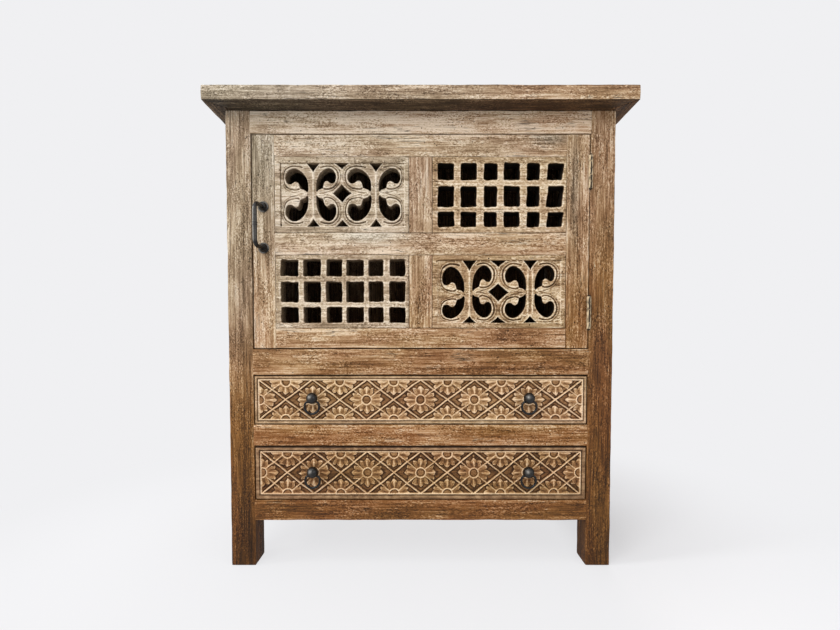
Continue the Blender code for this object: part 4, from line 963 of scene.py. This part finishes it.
ledgeThick, guideWide = 18 * mm, 8 * mm
for row in ("upper", "lower"):
    for side in ("left", "right"):
        node = f"{row}_runner_{side}"
        low, high = np.array(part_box(node))
        ledgeHigh, guideLow, guideHigh = high.copy(), low.copy(), high.copy()
        ledgeHigh[2] = low[2] + ledgeThick
        guideLow[2] = ledgeHigh[2]
        if side == "right":
            guideLow[0] = high[0] - guideWide
        else:
            guideHigh[0] = low[0] + guideWide
        ledge = board(low, ledgeHigh, alongY, 101, plainLook)
        guide = board(guideLow, guideHigh, alongY, 102, plainLook)
        putPiece(node, joinShapes([ledge, guide]), "carcass", *inWood)
print("case boards made")


# door

doorLook = dict(radius=1.3 * mm, step=5 * mm, pace=5 * mm, wear=0.9 * mm, wave=0.12 * mm, climb=0)
doorTenon, muntinTenon, growDown, growUp = 14.2 * mm, 7.5 * mm, 0.7 * mm, 0.5 * mm
doorBoards = dict(
    door_handle_stile=dict(along=alongZ, below=growDown, above=growUp, lift=0.49),
    door_hinge_stile=dict(along=alongZ, below=growDown, above=growUp, right=1.3 * mm, lift=0.62),
    door_top_rail=dict(along=alongX, trim=doorTenon, above=growUp, lift=0.66),
    door_middle_rail=dict(along=alongX, trim=doorTenon, lift=0.66),
    door_bottom_rail=dict(along=alongX, trim=doorTenon, below=growDown, lift=0.61),
    door_upper_muntin=dict(along=alongZ, trim=muntinTenon, lift=0.54),
    door_lower_muntin=dict(along=alongZ, trim=muntinTenon, lift=0.51),
)
for k, (node, plan) in enumerate(doorBoards.items()):
    putPiece(node, nodeBoard(node, seed=121 + k, look=doorLook, **plan), *onDoor)

scrollPlans = dict(
    # edges: the left end, for each half scroll its hole's edges round the stem, the join and the right end
    scroll_panel_upper_left=dict(
        edges=(-117, -108.6, -65.7, -54.8, -48.8, -11.0, 0.6, 11.2, 55.4, 65.5, 71.5, 112.5, 121.2),
        middle=1.5, stems=(1, 1), middles=(1.5, 3.5, 3.5, 3.5), notchHalf=12,
        pale=0.64, corner=0.06, bud=0.10, margin=0.66, wall=0.27, grey=0.76,
        edgeShading=dict(left=1.0, top=1.0, right=-0.6, bottom=-0.9),
        nails=((-118.5, 47), (-117, -56.5), (-100, 63.5), (-66, 63), (110, 63), (118, -57))),
    scroll_panel_lower_right=dict(
        edges=(-117.2, -109.3, -67.4, -56.7, -50.3, -13.5, -1, 12.2, 52.3, 61, 70.6, 107.8, 121),
        middle=1.0, stems=(1, 2), middles=(-7, 0, -2.5, 1), notchHalf=13,
        pale=0.58, corner=0.02, bud=-0.02, margin=0.54, wall=-0.3, grey=0.14,
        edgeShading=dict(left=-0.5, top=0.9, right=-0.8, bottom=-0.8),
        nails=((122, 38), (-120, 58), (60, -64), (-20, 63.5))),
)
gridPlans = dict(
    # columns and rows: both edges of each line of holes, and how far each column leans
    grid_panel_lower_left=dict(
        columns=((-118.6, -84.7), (-74.8, -41.7), (-31.2, -0.6), (7.4, 41.0), (50.4, 79.6), (91, 121.8)),
        rows=((-60, -30), (-20, 19.6), (29.8, 61.6)), leans=(0, 0, 0, 0, 0, 0),
        wall=0.24, grey=0.62, pale=0.57),
    grid_panel_upper_right=dict(
        columns=((-117.8, -87.1), (-74.5, -43.8), (-29.6, -4.3), (8.7, 39.2), (52.8, 77.4), (92.3, 121.5)),
        rows=((-60.8, -32.4), (-22.3, 17.0), (28.4, 60.5)), leans=(0, 0, 0, 0, 0.03, 0.10),
        wall=-0.35, grey=0.26, pale=0.54),
)
panelKinds = ((scrollPlans, scrollCarving, 140, 0.85 * mm), (gridPlans, gridCarving, 160, 1.0 * mm))
for plans, carving, seed, step in panelKinds:
    for k, (node, plan) in enumerate(plans.items()):
        carve = partial(carving, plan=plan, seed=seed + 10 * k)
        plate = carvedPlate(node, step, carve, seed + 1 + k, True, plan["wall"], plan["grey"])
        putPiece(node, plate, "door", "door_teak", carvedDoorTeak)
print("door made")


# drawers

carveStep = 0.9 * mm
boxLook = {**plainLook, "climb": 0, "lift": 0.42}
drawerPlans = dict(
    upper=dict(border=7.2, lift=0.03, seamShade=0.15, pellets=False),
    lower=dict(border=9.5, lift=-0.14, seamShade=0.6, pellets=True),
)
for k, (row, plan) in enumerate(drawerPlans.items()):
    body = f"{row}_drawer"
    node = f"{body}_front"
    low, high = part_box(node)
    halfWide, halfHigh = (high[0] - low[0]) / 2 / mm, (high[2] - low[2]) / 2 / mm
    carve = partial(latticeCarving, halfWide=halfWide, halfHigh=halfHigh, seed=180 + 10 * k, **plan)
    plate = carvedPlate(node, carveStep, carve, 181 + k, False, grey=0.10 - 0.05 * k)
    putPiece(node, plate, body, "carved_teak", carvedDrawerTeak)
    for j, (part, along) in enumerate((("left_side", alongY), ("right_side", alongY), ("back", alongX))):
        node = f"{body}_{part}"
        side = nodeBoard(node, along, 200 + 10 * k + j, boxLook)
        putPiece(node, side, body, *inWood)
    node = f"{body}_bottom"
    bottom = planks(node, alongY, alongX, 4, 220 + 30 * k, boxLook)
    putPiece(node, bottom, body, *inWood)
print("drawers made")


# door handle and drawer pulls

handle = dict(
    centres=78.5 * mm, radius=4.0 * mm, elbow=12 * mm, bead=5.6 * mm, beadApart=4.2 * mm, beadHalf=1.1 * mm,
    beadHigh=0.9 * mm, beadFar=1 * mm, swell=0.06, lean=4.2 * mm, aside=1.2 * mm, sunk=2 * mm,
    # points along the stub, the bend and the bar, and round the bow and a rosette
    stubCount=5, bendCount=14, barCount=61, bowRound=28, rosetteRound=40,
    # how bright the painted highlight is on the bow all over and on its left, and on two sides of a
    # rosette's rim
    bright=0.08, brighter=0.75, leftSide=(0.15, 0.7), highlightFrom=5 * mm, beadDull=0.8,
    rim=9.4, rimWide=1.0, rimBright=0.5, rimSides=(4, 11),
    rosette=((0, 0), (9.6, 0), (10.4, 0.6), (10.5, 1.4), (10.0, 2.2), (8.6, 2.7), (8.0, 2.5), (7.6, 2.9),
             (7.2, 3.9), (6.2, 5.2), (5.4, 6.6), (5.0, 8.4), (0, 8.6)),
)
low, high = np.array(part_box("door_handle"))
handleX, handleZ = ((low + high) / 2)[[alongX, alongZ]]
face, barY = high[1], low[1] + handle["bead"]
half, elbow = handle["centres"] / 2, handle["elbow"]
stubCount, barCount = handle["stubCount"], handle["barCount"]
stubY = np.linspace(face - handle["sunk"], barY + elbow, stubCount + 1)[:-1]
stub = np.stack([stubY, np.full(stubCount, half)], 1)
bend = arcPath((barY + elbow, half - elbow), elbow, 90, 180, handle["bendCount"])
barZ = np.linspace(half - elbow, elbow - half, barCount + 2)[1:-1]
bar = np.stack([np.full(barCount, barY), barZ], 1)
upper = np.concatenate([stub, bend])
route = np.concatenate([upper, bar, upper[::-1] * [1, -1]])
# two beads stand in the middle of the bar, which is a little thicker there
beads = np.exp(-((np.abs(route[:, 1]) - handle["beadApart"] / 2) / handle["beadHalf"]) ** 2)
beads = beads * (route[:, 0] < barY + handle["beadFar"])
radii = handle["radius"] * (1 + handle["swell"] * np.cos(math.pi * route[:, 1] / handle["centres"]))
radii = radii + handle["beadHigh"] * beads
# the bow leans a little to the left of its rosettes
leanOut = handle["lean"] * (route[:, 0] - face) / (face - barY)
path = np.stack([handleX + handle["aside"] + leanOut, route[:, 0], handleZ + route[:, 1]], 1)
grip = rod(path, radii, (1, 0, 0), handle["bowRound"], False)
# a painted highlight runs down the bow's left side, and over two sides of each rosette's rim
leftwards = (path[:, None, 0] - grip["points"].reshape(len(path), -1, 3)[..., 0]) / radii[:, None]
highlightSpan = smooth(half - elbow / 2 - np.abs(route[:, 1]), 0, handle["highlightFrom"])[:, None]
highlightSpan = highlightSpan * (1 - handle["beadDull"] * beads[:, None])
wearAndHighlight = handle["bright"] + handle["brighter"] * smooth(leftwards, *handle["leftSide"])
grip["marks"] = dict(tone=(highlightSpan * wearAndHighlight).ravel())
fittings = [grip]
for sign in (-1, 1):
    spot = (handleX + handle["aside"], face, handleZ + sign * half)
    rosette = lathe(np.array(handle["rosette"]) * mm, handle["rosetteRound"], spot, (0, -1, 0))
    away = (rosette["points"] - spot) / mm
    rim = groove(np.hypot(away[:, 0], away[:, 2]) - handle["rim"], handle["rimWide"])
    rim = rim * smooth(np.abs(away[:, 0] + away[:, 2]), *handle["rimSides"])
    rosette["marks"] = dict(tone=handle["rimBright"] * rim)
    fittings.append(rosette)
putPiece("door_handle", joinShapes(fittings), "door", *inIron)

pull = dict(
    ball=11.0, crown=(-0.3, -0.9, 0.3), wire=2.3 * mm, ring=14.0 * mm, halfChord=10.4 * mm,
    straight=8.6 * mm, ease=8,
    # the ball's angles and their number, points round it, along the ring and round its wire
    ballTurn=(4, 146, 22), ballRound=40, hoopCount=60, straightCount=12, wireRound=18,
    # a glint and the shine round it: how bright, and its reach in radii
    glints=((0.62, 0.26), (0.04, 0.8)),
    neck=((5.6, -9.9), (5.3, -10.8), (6.4, -11.6), (6.6, -12.4), (6.0, -12.7), (5.0, -14.0), (3.0, -17.0),
          (0, -17.2)),
)
angles = np.radians(np.linspace(*pull["ballTurn"]))
ballRadius = pull["ball"]
ballProfile = [(0, ballRadius)] + [(ballRadius * math.sin(t), ballRadius * math.cos(t)) for t in angles]
ballProfile += pull["neck"]
drop = math.sqrt(pull["ring"] ** 2 - pull["halfChord"] ** 2)
shoulder = math.degrees(math.asin(drop / pull["ring"])) - pull["ease"]
for row in ("upper", "lower"):
    for side in ("left", "right"):
        node = f"{row}_{side}_pull_ball"
        low, high = np.array(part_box(node))
        centre = (low + high) / 2
        centre[1] = low[1] + ballRadius * mm
        ball = lathe(np.array(ballProfile) * mm, pull["ballRound"], centre, (0, -1, 0))
        # a painted highlight sits on the ball's crown, up and to the left
        crown = np.linalg.norm((ball["points"] - centre) / (ballRadius * mm) - pull["crown"], axis=1)
        ball["marks"] = dict(tone=sum(bright * groove(crown, reach) for bright, reach in pull["glints"]))
        putPiece(node, ball, f"{row}_drawer", *inIron)
        # the ring is an open hoop closed by a straight piece through the ball
        node = f"{row}_{side}_pull_ring"
        low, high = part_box(node)
        top = high[2] - pull["wire"]
        hoop = arcPath((centre[0], top - drop), pull["ring"], shoulder, -180 - shoulder, pull["hoopCount"])
        ends = centre[0] - pull["straight"], centre[0] + pull["straight"]
        across = np.linspace(*ends, pull["straightCount"])
        loop = np.concatenate([hoop, np.stack([across, np.full(len(across), top)], 1)])
        path = np.stack([loop[:, 0], np.full(len(loop), (low[1] + high[1]) / 2), loop[:, 1]], 1)
        hanging = rod(path, np.full(len(path), pull["wire"]), (0, 1, 0), pull["wireRound"], True)
        putPiece(node, hanging, f"{row}_{side}_ring", *inIron)

hinge = dict(
    thick=1.4 * mm, proud=0.6 * mm, radius=4.0 * mm, knuckles=5, apart=0.4 * mm, soft=0.5 * mm, round=48,
    # where the barrel counts as front, how much lime there is, and the size and spread of its bare places
    front=(0.86, 0.97), lime=0.95, rubLength=13 * mm, rubSpread=(-0.45, -0.1),
    chipLength=8 * mm, chipSpread=(0.05, 0.35), chipShare=0.75)
leafLook = dict(radius=0.4 * mm, step=4 * mm, pace=6 * mm, wear=0.0, wave=0.0)
for place in ("upper", "lower"):
    pinLow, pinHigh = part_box(f"{place}_hinge_pin")
    axisX, axisY = (pinLow[0] + pinHigh[0]) / 2, (pinLow[1] + pinHigh[1]) / 2
    for leaf, first, sign, body in (("frame", 0, 1, "carcass"), ("door", 1, -1, "door")):
        node = f"{place}_hinge_{leaf}_leaf"
        low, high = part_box(node)
        pitch = (high[2] - low[2] + hinge["apart"]) / hinge["knuckles"]
        tall, r, rounding = pitch - hinge["apart"], hinge["radius"], hinge["soft"]
        sides = sorted((axisX + sign * hinge["proud"], axisX + sign * (hinge["proud"] + hinge["thick"])))
        plateLow = (sides[0], axisY + r + hinge["apart"], low[2])
        shapes = [board(plateLow, (sides[1], high[1], high[2]), alongZ, 230, leafLook)]
        profile = [(0, 0), (r - rounding, 0), (r, rounding), (r, tall / 2), (r, tall - rounding),
                   (r - rounding, tall), (0, tall)]
        for k in range(first, hinge["knuckles"], 2):
            shapes.append(lathe(profile, hinge["round"], (axisX, axisY, low[2] + k * pitch), (0, 0, 1)))
        for shape in shapes:
            shape["marks"] = {}
        leaves = joinShapes(shapes)
        points = leaves["points"]
        # lime stays on the barrel's flanks, and its front is worn down to dark steel in places
        front = smooth((axisY - points[:, 1]) / r, *hinge["front"])
        rubbed = front * smooth(waves(points, hinge["rubLength"], 233), *hinge["rubSpread"])
        chipped = hinge["chipShare"] * smooth(waves(points, hinge["chipLength"], 237), *hinge["chipSpread"])
        leaves["marks"] = dict(tone=hinge["lime"] - np.maximum(rubbed, chipped))
        putPiece(node, leaves, body, "hinge_steel", hingeSteel, "steel")
    # the pin stays the solid's own
    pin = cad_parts[f"{place}_hinge_pin"]
    pin.data.materials.clear()
    pin.data.materials.append(hingeSteel)
print("ironwork made")


# floor, light and camera

def seenRays(add):
    # 1 for what the camera sees, straight on or by reflection or through glass, and 0 for light on its way
    seen = 0.0
    for ray in ("Camera", "Glossy", "Transmission"):
        seen = add("Math", larger, {0: seen, 1: add("LightPath", out=f"Is {ray} Ray")})
    return seen


# the floor takes the cabinet's shadow close by, more of it to the right, and fades into the backdrop
studio = dict(backdrop="#F0F0F2", paper="#E6E6E8", size=8.0, level=-0.0005, shadow=(0.3, 0.45, 0.17, 0.7),
              fade=(0.6, 1.1, 1.0, 0.0), ambient=0.55)
backdropColour = linearColour(studio["backdrop"])
size, level = studio["size"], studio["level"]
corners = [(x * size, y * size, level) for x, y in ((-1, -1), (1, -1), (1, 1), (-1, 1))]
floorMesh = bpy.data.meshes.new("studio_floor")
floorMesh.from_pydata(corners, [], [(0, 1, 2, 3)])
floor = addObject("studio_floor", floorMesh)
floorMaterial, add = newMaterial("pale_studio_paper")
spot = add("TexCoord", out="Object")
away = add("VectorMath", dict(operation="LENGTH"), {0: spot}, "Value")
sideways = add("SeparateXYZ", None, {0: spot}, "X")
share = add("MapRange", dict(soft, span=studio["shadow"]), {"Value": sideways})
fade = add("MapRange", dict(soft, span=studio["fade"]), {"Value": away})
keep = add("Math", times, {0: share, 1: fade})
paper = add("BsdfDiffuse", None, {"Color": linearColour(studio["paper"])})
glow = add("Emission", None, {"Color": backdropColour, "Strength": 1.0})
shown = add("MixShader", None, {0: keep, 1: glow, 2: paper})
surface = add("MixShader", None, {0: seenRays(add), 1: paper, 2: shown})
add("OutputMaterial", None, {"Surface": surface})
floorMesh.materials.append(floorMaterial)

world = bpy.data.worlds.new("studio")
scene.world = world
world.use_nodes = True
world.node_tree.nodes.clear()
add = partial(addNode, world.node_tree)
ambient = add("Background", None, {"Color": linearColour("#FFFFFF"), "Strength": studio["ambient"]})
backdrop = add("Background", None, {"Color": backdropColour, "Strength": 1.0})
mixed = add("MixShader", None, {0: seenRays(add), 1: ambient, 2: backdrop})
add("OutputWorld", None, {"Surface": mixed})

lamps = dict(
    key=dict(place=(-1.5, -2.6, 2.3), size=1.8, power=52),
    side=dict(place=(-2.3, -0.7, 1.7), size=0.5, power=20),
    fill=dict(place=(1.9, -2.4, 1.5), size=2.0, power=18),
    top=dict(place=(-0.4, -0.2, 3.0), size=2.4, power=34),
    back=dict(place=(0.9, 2.8, 1.6), size=2.0, power=30),
)
lampTarget = np.array([0, 0, 0.5])
for name, lamp in lamps.items():
    light = bpy.data.lights.new(name, "AREA")
    light.size, light.energy = lamp["size"], lamp["power"]
    holder = addObject(name, light)
    holder.location = lamp["place"]
    aim = lampTarget - np.array(lamp["place"])
    down, around = math.acos(-aim[2] / np.linalg.norm(aim)), math.atan2(aim[1], aim[0])
    holder.rotation_euler = (down, 0, around - math.pi / 2)

# the photo's camera: its focal length and shifts were solved in pixels of a picture 840 wide
view = dict(
    place=(0.0, -1.116, 0.4684), tiltDown=2.285, sensor=36, photoWide=840, focal=490,
    shiftX=-0.6, shiftY=32.6)
cameraData = bpy.data.cameras.new("photo_view")
cameraData.sensor_width = view["sensor"]
cameraData.lens = view["focal"] / view["photoWide"] * view["sensor"]
cameraData.shift_x = view["shiftX"] / view["photoWide"]
cameraData.shift_y = view["shiftY"] / view["photoWide"]
camera = addObject("photo_view", cameraData)
camera.location = view["place"]
camera.rotation_euler = (math.radians(90 - view["tiltDown"]), 0, 0)
scene.camera = camera
scene.view_settings.view_transform = "Standard"
print("studio made")
